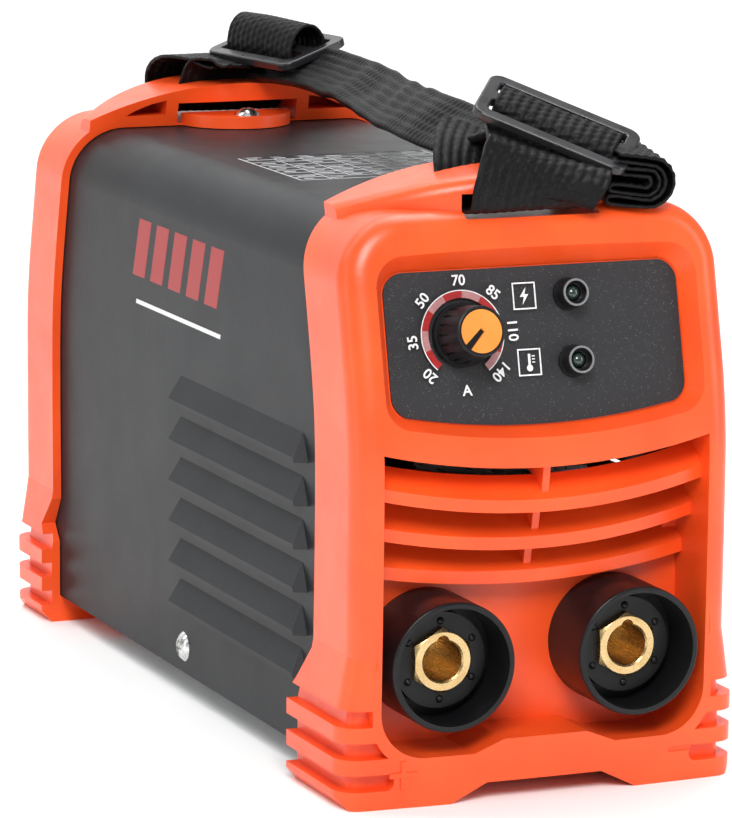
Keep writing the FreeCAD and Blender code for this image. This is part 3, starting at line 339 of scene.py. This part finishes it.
finishes = {
    "orange_plastic": mouldedPlastic("orange_moulding", {
        "colour": (0.90, 0.088, 0.012), "shade": (0.80, 0.070, 0.009), "roughness": 0.36, "uneven": 0.05,
        "specular": 0.5, "grainSize": 0.0006, "grainDepth": 0.00003, "coat": 0.12, "coatRoughness": 0.28}),
    "cover_paint": powderCoat("charcoal_powder_coat", {
        "colour": (0.017, 0.018, 0.020), "shade": (0.0155, 0.0165, 0.0185), "fleck": (0.04, 0.042, 0.046),
        "roughness": 0.38, "specular": 0.12}),
    "zinc_steel": metal("zinc_sheet", {
        "colour": (0.55, 0.56, 0.57), "shade": (0.42, 0.43, 0.44), "roughness": 0.38, "streakSize": 0.002,
        "streakWay": (1, 0.05, 1)}),
    "screw_steel": metal("plated_screw", {
        "colour": (0.78, 0.78, 0.77), "shade": (0.55, 0.55, 0.54), "roughness": 0.24, "streakSize": 0.0006,
        "tarnishSize": 0.002}),
    "panel_film": printedFilm("panel_film", {
        "colour": (0.021, 0.021, 0.023), "fleck": (0.19, 0.19, 0.20), "roughness": 0.55, "specular": 0.35}),
    "black_plastic": mouldedPlastic("black_moulding", {
        "colour": (0.010, 0.010, 0.011), "shade": (0.006, 0.006, 0.007), "roughness": 0.34, "uneven": 0.06,
        "specular": 0.3, "grainSize": 0.0005, "grainDepth": 0.00003}),
    "cap_plastic": mouldedPlastic("light_orange_moulding", {
        "colour": (0.80, 0.27, 0.045), "shade": (0.72, 0.22, 0.030), "roughness": 0.42, "uneven": 0.05,
        "grainSize": 0.0004, "grainDepth": 0.00002}),
    "shaft_metal": metal("milled_aluminium", {
        "colour": (0.66, 0.67, 0.68), "shade": (0.52, 0.53, 0.54), "roughness": 0.32, "streakSize": 0.0008,
        "streakWay": (1, 0.04, 1)}),
    "pot_case": metal("stamped_case", {
        "colour": (0.60, 0.58, 0.52), "shade": (0.45, 0.43, 0.38), "roughness": 0.36, "streakSize": 0.001}),
    "rim_chrome": metal("chrome_rim", {
        "colour": (0.90, 0.90, 0.90), "shade": (0.80, 0.80, 0.80), "roughness": 0.16, "streakSize": 0.0005}),
    "lamp_lens": clearLens("dark_lens", {
        "colour": (0.02, 0.035, 0.03), "roughness": 0.1, "coat": 0.6, "coatRoughness": 0.05}),
    "brass": metal("turned_brass", {
        "colour": (0.72, 0.52, 0.26), "shade": (0.60, 0.41, 0.18), "roughness": 0.27, "streakSize": 0.0006,
        "streakWay": (1, 0.12, 1), "tarnishSize": 0.005, "streakDepth": 0.000004}),
    "copper": metal("copper_bar", {
        "colour": (0.83, 0.38, 0.22), "shade": (0.58, 0.24, 0.13), "roughness": 0.33, "streakSize": 0.001}),
    "buckle_plastic": mouldedPlastic("buckle_moulding", {
        "colour": (0.017, 0.017, 0.019), "shade": (0.011, 0.011, 0.012), "roughness": 0.30, "uneven": 0.07,
        "grainSize": 0.0005, "grainDepth": 0.00003, "specular": 0.6}),
    "label_print": printedInk("white_print", {
        "colour": (0.72, 0.73, 0.74), "shade": (0.50, 0.51, 0.52), "roughness": 0.5}),
    "rocker_red": mouldedPlastic("red_rocker", {
        "colour": (0.60, 0.018, 0.012), "shade": (0.50, 0.012, 0.009), "roughness": 0.24, "uneven": 0.04,
        "grainSize": 0.0006, "grainDepth": 0.00002, "coat": 0.3}),
    "board_green": mouldedPlastic("green_laminate", {
        "colour": (0.012, 0.14, 0.055), "shade": (0.008, 0.09, 0.035), "roughness": 0.35, "uneven": 0.08,
        "driftSize": 0.006, "grainSize": 0.0012, "grainDepth": 0.00005}),
    "standoff_brass": metal("standoff_brass", {
        "colour": (0.75, 0.58, 0.32), "shade": (0.60, 0.44, 0.22), "roughness": 0.3, "streakSize": 0.0007}),
    "can_sleeve": mouldedPlastic("capacitor_sleeve", {
        "colour": (0.020, 0.028, 0.075), "shade": (0.012, 0.016, 0.045), "roughness": 0.28, "uneven": 0.05,
        "grainSize": 0.001, "grainDepth": 0.00002, "coat": 0.2}),
    "ferrite": mouldedPlastic("ferrite", {
        "colour": (0.045, 0.045, 0.048), "shade": (0.028, 0.028, 0.030), "roughness": 0.6, "uneven": 0.1,
        "driftSize": 0.004, "grainSize": 0.0004, "grainDepth": 0.00006}),
    "winding_tape": mouldedPlastic("winding_tape", {
        "colour": (0.68, 0.44, 0.08), "shade": (0.55, 0.33, 0.05), "roughness": 0.34, "uneven": 0.08,
        "driftSize": 0.005, "grainSize": 0.001, "grainDepth": 0.00005}),
    "choke_core": mouldedPlastic("choke_enamel", {
        "colour": (0.50, 0.44, 0.07), "shade": (0.40, 0.34, 0.05), "roughness": 0.4, "uneven": 0.08,
        "grainSize": 0.001, "grainDepth": 0.00004}),
    "relay_case": mouldedPlastic("relay_case", {
        "colour": (0.016, 0.06, 0.22), "shade": (0.012, 0.045, 0.17), "roughness": 0.3, "uneven": 0.05,
        "grainSize": 0.0008, "grainDepth": 0.00002}),
    "bridge_epoxy": mouldedPlastic("bridge_epoxy", {
        "colour": (0.025, 0.025, 0.026), "shade": (0.018, 0.018, 0.019), "roughness": 0.5, "uneven": 0.06,
        "grainSize": 0.0007, "grainDepth": 0.00003}),
    "film_case": mouldedPlastic("film_case", {
        "colour": (0.50, 0.36, 0.07), "shade": (0.42, 0.29, 0.05), "roughness": 0.32, "uneven": 0.05,
        "grainSize": 0.0008, "grainDepth": 0.00002}),
    # the webbing's third colour is a painted glint, a painted highlight on the yarn backs
    "webbing": wovenFabric("woven_webbing", {
        "colour": (0.0055, 0.0055, 0.006), "shade": (0.0022, 0.0022, 0.0025), "paintedGlint": (0.03, 0.03, 0.032),
        "roughness": 0.42, "specular": 0.16}),
}
inkRed = printedInk("dark_red_ink", {
    "colour": (0.36, 0.012, 0.012), "shade": (0.27, 0.008, 0.009), "roughness": 0.45})
inkRose = printedInk("rose_ink", {
    "colour": (0.42, 0.20, 0.20), "shade": (0.34, 0.15, 0.15), "roughness": 0.45})
inkWhite = printedInk("panel_white_ink", {
    "colour": (0.78, 0.78, 0.78), "shade": (0.60, 0.60, 0.60), "roughness": 0.45})


def dressNodes():
    slotOf = {part["node"]: part["material_slot"] for part in frame["record"]["subparts"]}
    for name, node in nodes.items():
        finish = finishes[slotOf[name]]
        if node.material_slots:
            for slot in node.material_slots:
                slot.material = finish
        else:
            node.data.materials.append(finish)


dressNodes()
print("finishes are on", len(nodes), "parts")


# making pieces

def newPiece(name, bm, materials, body="root", smooth=True):
    mesh = bpy.data.meshes.new(name)
    bm.to_mesh(mesh)
    bm.free()
    piece = bpy.data.objects.new(name, mesh)
    bpy.context.collection.objects.link(piece)
    for material in materials:
        mesh.materials.append(material)
    for polygon in mesh.polygons:
        polygon.use_smooth = smooth
    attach(piece, body)
    return piece


def solidify(piece, thickness, offset=0.0):
    wall = piece.modifiers.new("thickness", "SOLIDIFY")
    wall.thickness = thickness
    wall.offset = offset
    return wall


# webbing

webbing = {
    "width": 40.0,
    "thickness": 0.9,
    "columns": 13,
    "rowPitch": 3.0,
    "relief": 0.6,
    "foldGap": 2.2,             # between the two layers of the strap folded lengthwise
    "stepsPerColumn": 4,
    "stepsPerRow": 4,
}


def smoothPoint(points, index, share):
    # Catmull-Rom through four neighbouring stations
    a = points[max(index - 1, 0)]
    b = points[index]
    c = points[min(index + 1, len(points) - 1)]
    d = points[min(index + 2, len(points) - 1)]
    square = share * share
    cube = square * share
    bend = (2 * a - 5 * b + 4 * c - d) * square
    return 0.5 * (2 * b + (c - a) * share + bend + (3 * b - a - 3 * c + d) * cube)


def smoothRun(stations):
    # evenly spaced centre points with their width directions
    centres = [Vector(place) for place, across in stations]
    widths = [Vector(across).normalized() for place, across in stations]
    dense = []
    for index in range(len(stations) - 1):
        for part in range(40):
            share = part / 40
            across = smoothPoint(widths, index, share).normalized()
            dense.append((smoothPoint(centres, index, share), across))
    dense.append((centres[-1], widths[-1]))
    travelled = [0.0]
    for before, after in zip(dense, dense[1:]):
        travelled.append(travelled[-1] + (after[0] - before[0]).length)
    count = max(8, round(travelled[-1] / webbing["rowPitch"] * webbing["stepsPerRow"]))
    run = []
    seek = 0
    for step in range(count + 1):
        goal = travelled[-1] * step / count
        while seek < len(dense) - 2 and travelled[seek + 1] < goal:
            seek += 1
        gap = max(travelled[seek + 1] - travelled[seek], 1e-9)
        share = (goal - travelled[seek]) / gap
        before, after = (dense[seek], dense[seek + 1])
        run.append((before[0].lerp(after[0], share), before[1].lerp(after[1], share)))
    return run, travelled[-1]


def weaveHeight(along, across):
    # yarn columns along the strap, with floats that step by half a row from one column to the next
    column = (across + 0.5) * webbing["columns"]
    row = along / webbing["rowPitch"] + 0.5 * (math.floor(column) % 2)
    yarn = abs(math.sin(math.pi * column)) ** 0.7
    over = 0.5 + 0.5 * math.cos(2 * math.pi * row + 0.9 * math.sin(2 * math.pi * column))
    return webbing["relief"] * yarn * (0.2 + 0.8 * over)


def foldedPlace(across):
    # place and rise of a yarn when the strap is folded lengthwise round its middle
    out = abs(across) * webbing["width"]
    radius = webbing["foldGap"] / 2
    if out < radius * math.pi / 2:
        side = radius * (1 - math.cos(out / radius))
        rise = radius * math.sin(out / radius)
    else:
        side = radius + out - radius * math.pi / 2
        rise = radius + 0.09 * (side - radius)
    return side - webbing["width"] / 4, math.copysign(rise, across)


def buildWebbing(name, stations, crumple=0.0, fold=0.0, seed=0.0, lengthwise=False):
    run, length = smoothRun(stations)
    columns = webbing["columns"] * webbing["stepsPerColumn"]
    bm = bmesh.new()
    bmesh.ops.create_grid(bm, x_segments=len(run) - 1, y_segments=columns, size=0.5, calc_uvs=False)
    layer = bm.loops.layers.uv.new("UVMap")
    places = {}
    for vert in bm.verts:
        step = round((vert.co.x + 0.5) * (len(run) - 1))
        across = vert.co.y
        centre, width = run[step]
        after = run[min(step + 1, len(run) - 1)][0]
        before = run[max(step - 1, 0)][0]
        tangent = (after - before).normalized()
        width = (width - tangent * width.dot(tangent)).normalized()
        normal = tangent.cross(width)
        along = length * step / (len(run) - 1)
        places[vert.index] = (along, across * webbing["width"])
        weave = weaveHeight(along, across)
        side, rise = (across * webbing["width"], weave)
        if lengthwise:
            side, rise = foldedPlace(across)
            rise += math.copysign(weave, across)
        ends = math.sin(math.pi * step / (len(run) - 1))
        rise += fold * ends * math.cos(math.pi * side / 13 + along / 40 + seed)
        rise += crumple * noise.noise(Vector((along / 16 + seed, side / 19, seed)))
        sway = 0.6 * crumple * noise.noise(Vector((along / 22 + seed, 5.0, seed)))
        spot = centre + width * (side + sway) + normal * rise
        vert.co = spot * mm
    for face in bm.faces:
        for loop in face.loops:
            along, across = places[loop.vert.index]
            loop[layer].uv = (along / 10, across / 10)
    bmesh.ops.recalc_face_normals(bm, faces=bm.faces)
    piece = newPiece(name, bm, [finishes["webbing"]])
    solidify(piece, webbing["thickness"] * mm)
    return piece, length


frontBuckle = {"centre": (15.2, -127, 205.6), "along": (0.8, -0.48, -0.36), "across": (0.59, 0.75, 0.31)}
rearBuckle = {"centre": (13.7, 105, 206.0), "along": (0.22, -0.97, -0.01), "across": (0.93, 0.2, 0.3)}


def onBuckle(buckle, across, above, along=0.0):
    # a point given from the buckle's middle, in its own directions
    long = Vector(buckle["along"]).normalized()
    out = long.cross(Vector(buckle["across"])).normalized()
    short = out.cross(long)
    return tuple(Vector(buckle["centre"]) + short * across + out * above + long * along)


def frontLoopStations():
    long = frontBuckle["along"]
    flat = (1, 0, 0)
    return [
        ((6, -107, 200.5), (0.9, -0.35, -0.2)),
        ((1, -114, 197.0), (0.97, -0.2, -0.12)),
        ((-3, -120.4, 190.5), (1, -0.05, -0.05)),
        ((-3, -122.4, 184.8), flat),
        ((-2, -130, 182.4), flat),
        ((-2, -139, 181.8), flat),
        ((-2, -145.4, 182.6), flat),
        ((-1.6, -147.2, 187.5), flat),
        ((1.0, -146.6, 193.0), (0.99, -0.08, -0.1)),
        ((5.0, -143.4, 198.0), (0.93, -0.28, -0.22)),
        (onBuckle(frontBuckle, -8.4, -4.0), long),
        (onBuckle(frontBuckle, -6.2, -0.8), long),
        (onBuckle(frontBuckle, -4.6, 2.0), long),
        (onBuckle(frontBuckle, 0.0, 3.0), long),
        (onBuckle(frontBuckle, 5.4, 2.6), long),
        (onBuckle(frontBuckle, 8.6, 0.0), long),
        (onBuckle(frontBuckle, 11.0, -3.4), long),
        (onBuckle(frontBuckle, 14.0, -6.0), long),
    ]


def rearLoopStations():
    # up behind the arch, over it and down in front, closed under the buckle
    flat = (1, 0, 0)
    return [
        ((8, 112, 201.5), (0.97, -0.25, 0.03)),
        ((4, 122, 202.0), (0.98, -0.2, 0.03)),
        ((0, 134, 200.5), (0.99, -0.1, 0.03)),
        ((-1, 143, 196.5), flat),
        ((0, 147.3, 190.5), flat),
        ((1, 147.0, 185.0), flat),
        ((1, 142.0, 182.4), flat),
        ((2, 132, 181.9), flat),
        ((2, 124.5, 182.4), flat),
        ((2, 120.8, 185.5), flat),
        ((2.5, 119.6, 191.0), flat),
        ((4, 117.0, 196.5), (0.99, -0.1, 0.02)),
        ((7, 111.0, 199.3), (0.97, -0.2, 0.0)),
        ((10, 104.0, 199.8), (0.95, -0.3, 0.0)),
    ]


def rearPassStations():
    # the slack hump over the rear buckle's middle bar
    long = rearBuckle["along"]
    return [
        (onBuckle(rearBuckle, -9.5, -3.4), long),
        (onBuckle(rearBuckle, -7.2, -0.4), long),
        (onBuckle(rearBuckle, -6.6, 3.6), long),
        (onBuckle(rearBuckle, -3.4, 8.4), long),
        (onBuckle(rearBuckle, 1.2, 10.2), long),
        (onBuckle(rearBuckle, 5.4, 8.2), long),
        (onBuckle(rearBuckle, 7.4, 3.6), long),
        (onBuckle(rearBuckle, 7.0, -0.6), long),
        (onBuckle(rearBuckle, 4.5, -3.6), long),
    ]


def middleStations():
    # centre line of the folded strap; its folded edge lies on the left
    return [
        ((14, 110, 199.0), (0.85, -0.45, 0.2)),
        ((16.5, 90, 200.0), (0.90, -0.20, 0.38)),
        ((18, 60, 200.6), (0.89, 0.0, 0.46)),
        ((15, 28, 200.0), (0.90, 0.0, 0.42)),
        ((11, 0, 199.3), (0.92, 0.0, 0.40)),
        ((5.5, -30, 199.8), (0.88, 0.0, 0.47)),
        ((1.5, -58, 200.5), (0.82, 0.0, 0.57)),
        ((0.5, -82, 199.5), (0.80, -0.1, 0.58)),
        ((1, -102, 199.0), (0.86, -0.3, 0.2)),
        ((6, -116, 200.0), (0.85, -0.45, -0.2)),
    ]


spareStrap = {
    "middle": (40.5, -127.5, 191.0),
    "radii": (7.6, 5.7, 3.8, 1.9),
    "reach": 13.0,
    "across": (0.12, 0.98, 0.10),
    "arcSteps": 6,
}


def spareStations():
    # surplus webbing folded back and forth, its round ends one inside the other
    across = Vector(spareStrap["across"]).normalized()
    side = Vector((1, 0, -0.12))
    side = (side - across * side.dot(across)).normalized()
    rise = side.cross(across)
    middle = Vector(spareStrap["middle"])
    stations = []
    way = 1
    for layer, radius in enumerate(spareStrap["radii"]):
        loose = 0.5 * layer
        stations.append((middle - side * spareStrap["reach"] * 0.9 + rise * way * radius, across))
        for step in range(spareStrap["arcSteps"] + 1):
            turn = math.pi * (0.5 - step / spareStrap["arcSteps"])
            spot = middle + side * (radius * math.cos(turn) - loose) + rise * way * radius * math.sin(turn)
            stations.append((spot, across))
        stations.append((middle - side * spareStrap["reach"] * 0.9 - rise * way * radius, across))
        way = -way
    return stations


def buildStrap():
    frontLoop, frontLength = buildWebbing("front_strap_webbing", frontLoopStations(), 0.5, 0.0, 1.3)
    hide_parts("front_strap_loop")
    rearLoop, rearLength = buildWebbing("rear_strap_webbing", rearLoopStations(), 0.9, 0.0, 4.1)
    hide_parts("rear_strap_loop")
    hump, humpLength = buildWebbing("rear_buckle_webbing", rearPassStations(), 0.7, 0.0, 3.3)
    middle, middleLength = buildWebbing("middle_strap_webbing", middleStations(), 1.6, 0.9, 7.7, True)
    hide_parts("carrying_strap")
    spare, spareLength = buildWebbing("spare_strap_webbing", spareStations(), 0.3, 0.0, 2.2)
    holds = (
        (frontLoop, frontLength, "stretched", ["front_bezel", "front_buckle"]),
        (rearLoop, rearLength, "stretched", ["rear_bezel", "rear_buckle"]),
        (hump, humpLength, "stretched", ["rear_buckle"]),
        (middle, middleLength, "hung", ["rear_buckle", "front_buckle"]),
        (spare, spareLength, "folded", ["front_bezel"]),
    )
    for piece, length, held, rests in holds:
        print(piece.name, round(length), "mm long")


buildStrap()


# printing on the control panel

dial = [joint for joint in frame["joints"] if joint["name"] == "dial_turn"][0]
inward = Vector(dial["axis"]).normalized()
panelUp = Vector((0, -inward.z, inward.y))
panelFrame = Matrix((
    (1, panelUp.x, -inward.x, dial["pos_m"][0]),
    (0, panelUp.y, -inward.y, dial["pos_m"][1]),
    (0, panelUp.z, -inward.z, dial["pos_m"][2]),
    (0, 0, 0, 1),
))

panelPrint = {
    "filmFront": 2.3,           # from the dial's pivot out to the film's face
    "ink": 0.06,
    "ringInner": 11.4,
    "ringOuter": 13.6,
    "ringStart": -138,
    "ringEnd": 145,
    "ringParts": 10,
    "figureRadius": 16.7,
    "figureSize": 4.6,
    "figures": (("20", -135), ("35", -95), ("50", -48), ("70", 0), ("85", 42), ("110", 88), ("140", 135)),
    "letterDrop": -17.2,
    "iconX": 21.6,
    "iconSize": (7.8, 8.4),
    "iconLine": 0.45,
    "ringLine": 0.3,
    "iconRows": (10.9, -9.6),
    "bulbRadius": 1.05,
    "bulbDrop": 1.8,
}


def printPlace():
    return panelFrame @ Matrix.Translation((0, 0, panelPrint["filmFront"] * mm))


def inkBand(bm, inner, outer, start, end):
    # a flat band round the dial, angles clockwise from the top
    first = math.radians(start)
    edge = []
    for radius in (inner, outer):
        edge.append(bm.verts.new((math.sin(first) * radius * mm, math.cos(first) * radius * mm, 0)))
    seed = bm.edges.new(edge)
    steps = max(2, round(abs(end - start) / 4))
    bmesh.ops.spin(bm, geom=edge + [seed], cent=(0, 0, 0), axis=(0, 0, -1),
                   angle=math.radians(end - start), steps=steps, use_duplicate=False)


def finishPrint(name, bm, materials):
    bmesh.ops.remove_doubles(bm, verts=bm.verts, dist=1e-7)
    bmesh.ops.recalc_face_normals(bm, faces=bm.faces)
    for face in bm.faces:
        if face.normal.z < 0:
            face.normal_flip()
    bmesh.ops.solidify(bm, geom=bm.faces[:], thickness=panelPrint["ink"] * mm)
    bmesh.ops.recalc_face_normals(bm, faces=bm.faces)
    bmesh.ops.transform(bm, matrix=printPlace(), verts=bm.verts)
    newPiece(name, bm, materials, smooth=False)


def buildRing():
    look = panelPrint
    share = (look["ringEnd"] - look["ringStart"]) / look["ringParts"]
    for name, ink, first in (("dial_ring_red", inkRed, 0), ("dial_ring_rose", inkRose, 1)):
        bm = bmesh.new()
        for part in range(first, look["ringParts"], 2):
            start = look["ringStart"] + share * part
            inkBand(bm, look["ringInner"], look["ringOuter"], start, start + share)
        finishPrint(name, bm, [ink])
    bm = bmesh.new()
    inkBand(bm, look["ringOuter"], look["ringOuter"] + look["ringLine"], look["ringStart"], look["ringEnd"])
    finishPrint("dial_ring_line", bm, [inkWhite])


def letters(body, size):
    curve = bpy.data.curves.new("lettering", "FONT")
    curve.body = body
    curve.size = size * mm
    curve.align_x = "CENTER"
    curve.align_y = "CENTER"
    curve.extrude = panelPrint["ink"] * mm / 2
    curve.resolution_u = 3
    curve.offset = 0.00008
    holder = bpy.data.objects.new("lettering", curve)
    bpy.context.collection.objects.link(holder)
    bpy.context.view_layer.update()
    mesh = bpy.data.meshes.new_from_object(holder.evaluated_get(bpy.context.evaluated_depsgraph_get()))
    bpy.data.objects.remove(holder)
    return mesh


def buildFigures():
    look = panelPrint
    bm = bmesh.new()
    for body, angle in look["figures"] + (("A", None),):
        piece = bmesh.new()
        piece.from_mesh(letters(body, look["figureSize"]))
        bmesh.ops.remove_doubles(piece, verts=piece.verts, dist=1e-7)
        turn = math.radians(angle or 0)
        reach = look["letterDrop"] if angle is None else look["figureRadius"]
        place = Matrix.Rotation(-turn, 4, "Z") @ Matrix.Translation((0, reach * mm, look["ink"] * mm / 2))
        bmesh.ops.transform(piece, matrix=place, verts=piece.verts)
        mesh = bpy.data.meshes.new("figure")
        piece.to_mesh(mesh)
        piece.free()
        bm.from_mesh(mesh)
    bmesh.ops.transform(bm, matrix=printPlace(), verts=bm.verts)
    newPiece("dial_figures", bm, [inkWhite], smooth=False)


def flatShape(bm, points, x, y):
    verts = [bm.verts.new(((x + px) * mm, (y + py) * mm, 0)) for px, py in points]
    bmesh.ops.contextual_create(bm, geom=verts)


def iconFrame(bm, x, y):
    wide, tall = panelPrint["iconSize"]
    w = wide / 2
    h = tall / 2
    line = panelPrint["iconLine"]
    flatShape(bm, ((-w, h - line), (w, h - line), (w, h), (-w, h)), x, y)
    flatShape(bm, ((-w, -h), (w, -h), (w, line - h), (-w, line - h)), x, y)
    flatShape(bm, ((-w, line - h), (line - w, line - h), (line - w, h - line), (-w, h - line)), x, y)
    flatShape(bm, ((w - line, line - h), (w, line - h), (w, h - line), (w - line, h - line)), x, y)


def buildIcons():
    look = panelPrint
    lampRows = look["iconRows"]
    bm = bmesh.new()
    for row in lampRows:
        iconFrame(bm, look["iconX"], row)
    bolt = ((0.7, 2.7), (-1.5, -0.3), (-0.1, -0.3), (-0.7, -2.7), (1.5, 0.5), (0.2, 0.5))
    flatShape(bm, bolt, look["iconX"], lampRows[0])
    stem = ((-0.4, -1.0), (0.4, -1.0), (0.4, 2.6), (-0.4, 2.6))
    flatShape(bm, stem, look["iconX"], lampRows[1])
    bulb = bmesh.ops.create_circle(bm, cap_ends=True, segments=20, radius=look["bulbRadius"] * mm)["verts"]
    bmesh.ops.translate(bm, vec=(look["iconX"] * mm, (lampRows[1] - look["bulbDrop"]) * mm, 0), verts=bulb)
    for tick in range(3):
        low = -0.2 + tick * 0.95
        mark = ((0.9, low), (1.9, low), (1.9, low + 0.35), (0.9, low + 0.35))
        flatShape(bm, mark, look["iconX"], lampRows[1])
    finishPrint("panel_icons", bm, [inkWhite])


buildRing()
buildFigures()
buildIcons()
print("panel print is on")


# blank rating grid on the cover's top

ratingGrid = {
    "rows": (0, 6.5, 11.5, 18, 24.5, 31, 38, 45, 51, 57),
    "columns": (0.16, 0.30, 0.44, 0.58, 0.72, 0.86),
    "line": 0.45,
    "ink": 0.05,
}


def gridBar(bm, x0, x1, y0, y1):
    made = bmesh.ops.create_cube(bm, size=1.0)["verts"]
    bmesh.ops.scale(bm, vec=((x1 - x0), (y1 - y0), ratingGrid["ink"] * mm), verts=made)
    bmesh.ops.translate(bm, vec=((x0 + x1) / 2, (y0 + y1) / 2, ratingGrid["ink"] * mm / 2), verts=made)


def buildRatingGrid():
    low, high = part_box("rating_label")
    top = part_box("cover")[1].z
    half = ratingGrid["line"] * mm / 2
    bm = bmesh.new()
    rows = [low.y + row * mm for row in ratingGrid["rows"] if low.y + row * mm <= high.y] + [high.y]
    for y in rows:
        gridBar(bm, low.x, high.x, y - half, y + half)
    for x in (low.x, high.x):
        gridBar(bm, x - half, x + half, low.y, high.y)
    columns = [low.x + (high.x - low.x) * share for share in ratingGrid["columns"]]
    for index, x in enumerate(columns):
        start = rows[1] if index % 2 else rows[0]
        gridBar(bm, x - half * 0.7, x + half * 0.7, start, rows[-3])
    for index in range(len(rows) - 1):
        middle = (rows[index] + rows[index + 1]) / 2
        for column in range(7):
            x = low.x + (high.x - low.x) * (0.035 + column * 0.139)
            reach = (0.05 + 0.04 * ((index * 3 + column * 5) % 4) / 3) * (high.x - low.x)
            if (index + column) % 5 != 2:
                gridBar(bm, x, x + reach, middle - 0.5 * mm, middle + 0.35 * mm)
    bmesh.ops.translate(bm, vec=(0, 0, top), verts=bm.verts)
    grid = newPiece("rating_grid", bm, [finishes["label_print"]], smooth=False)
    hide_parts("rating_label")


buildRatingGrid()

# plain stripes on both sides of the cover

sideStripes = {
    "flat": -60.52,             # the cover's left side
    "bars": 5,
    "rear": 46.0,
    "pitch": 17.0,
    "wide": 11.5,
    "low": 137.0,
    "high": 157.0,
    "slant": 7.0,
    "underline": (127.5, 129.0),
    "ink": 0.05,
}


def buildStripes():
    look = sideStripes
    for name, ink, bars in (("side_stripes_red", inkRed, True), ("side_stripes_line", inkWhite, False)):
        bm = bmesh.new()
        spans = [(look["rear"] - look["pitch"] * bar, look["wide"]) for bar in range(look["bars"])]
        low, high, slant = (look["low"], look["high"], look["slant"])
        if not bars:
            spans = [(look["rear"], look["pitch"] * (look["bars"] - 1) + look["wide"])]
            low, high, slant = (*look["underline"], 0.5)
        for start, wide in spans:
            made = bmesh.ops.create_cube(bm, size=1.0)["verts"]
            place = Matrix.Translation((0, (start - wide / 2) * mm, (low + high) / 2 * mm))
            shear = Matrix.Identity(4)
            shear[1][2] = -slant / (high - low)
            size = Matrix.Diagonal((look["ink"] * mm, wide * mm, (high - low) * mm, 1))
            bmesh.ops.transform(bm, matrix=place @ shear @ size, verts=made)
        bmesh.ops.translate(bm, vec=(look["flat"] * mm, 0, 0), verts=bm.verts)
        twin = bmesh.ops.duplicate(bm, geom=bm.faces[:])["geom"]
        twinVerts = [part for part in twin if isinstance(part, bmesh.types.BMVert)]
        bmesh.ops.scale(bm, vec=(-1, 1, 1), verts=twinVerts)
        bmesh.ops.recalc_face_normals(bm, faces=bm.faces)
        newPiece(name, bm, [ink], smooth=False)


buildStripes()
print("side stripes are on")
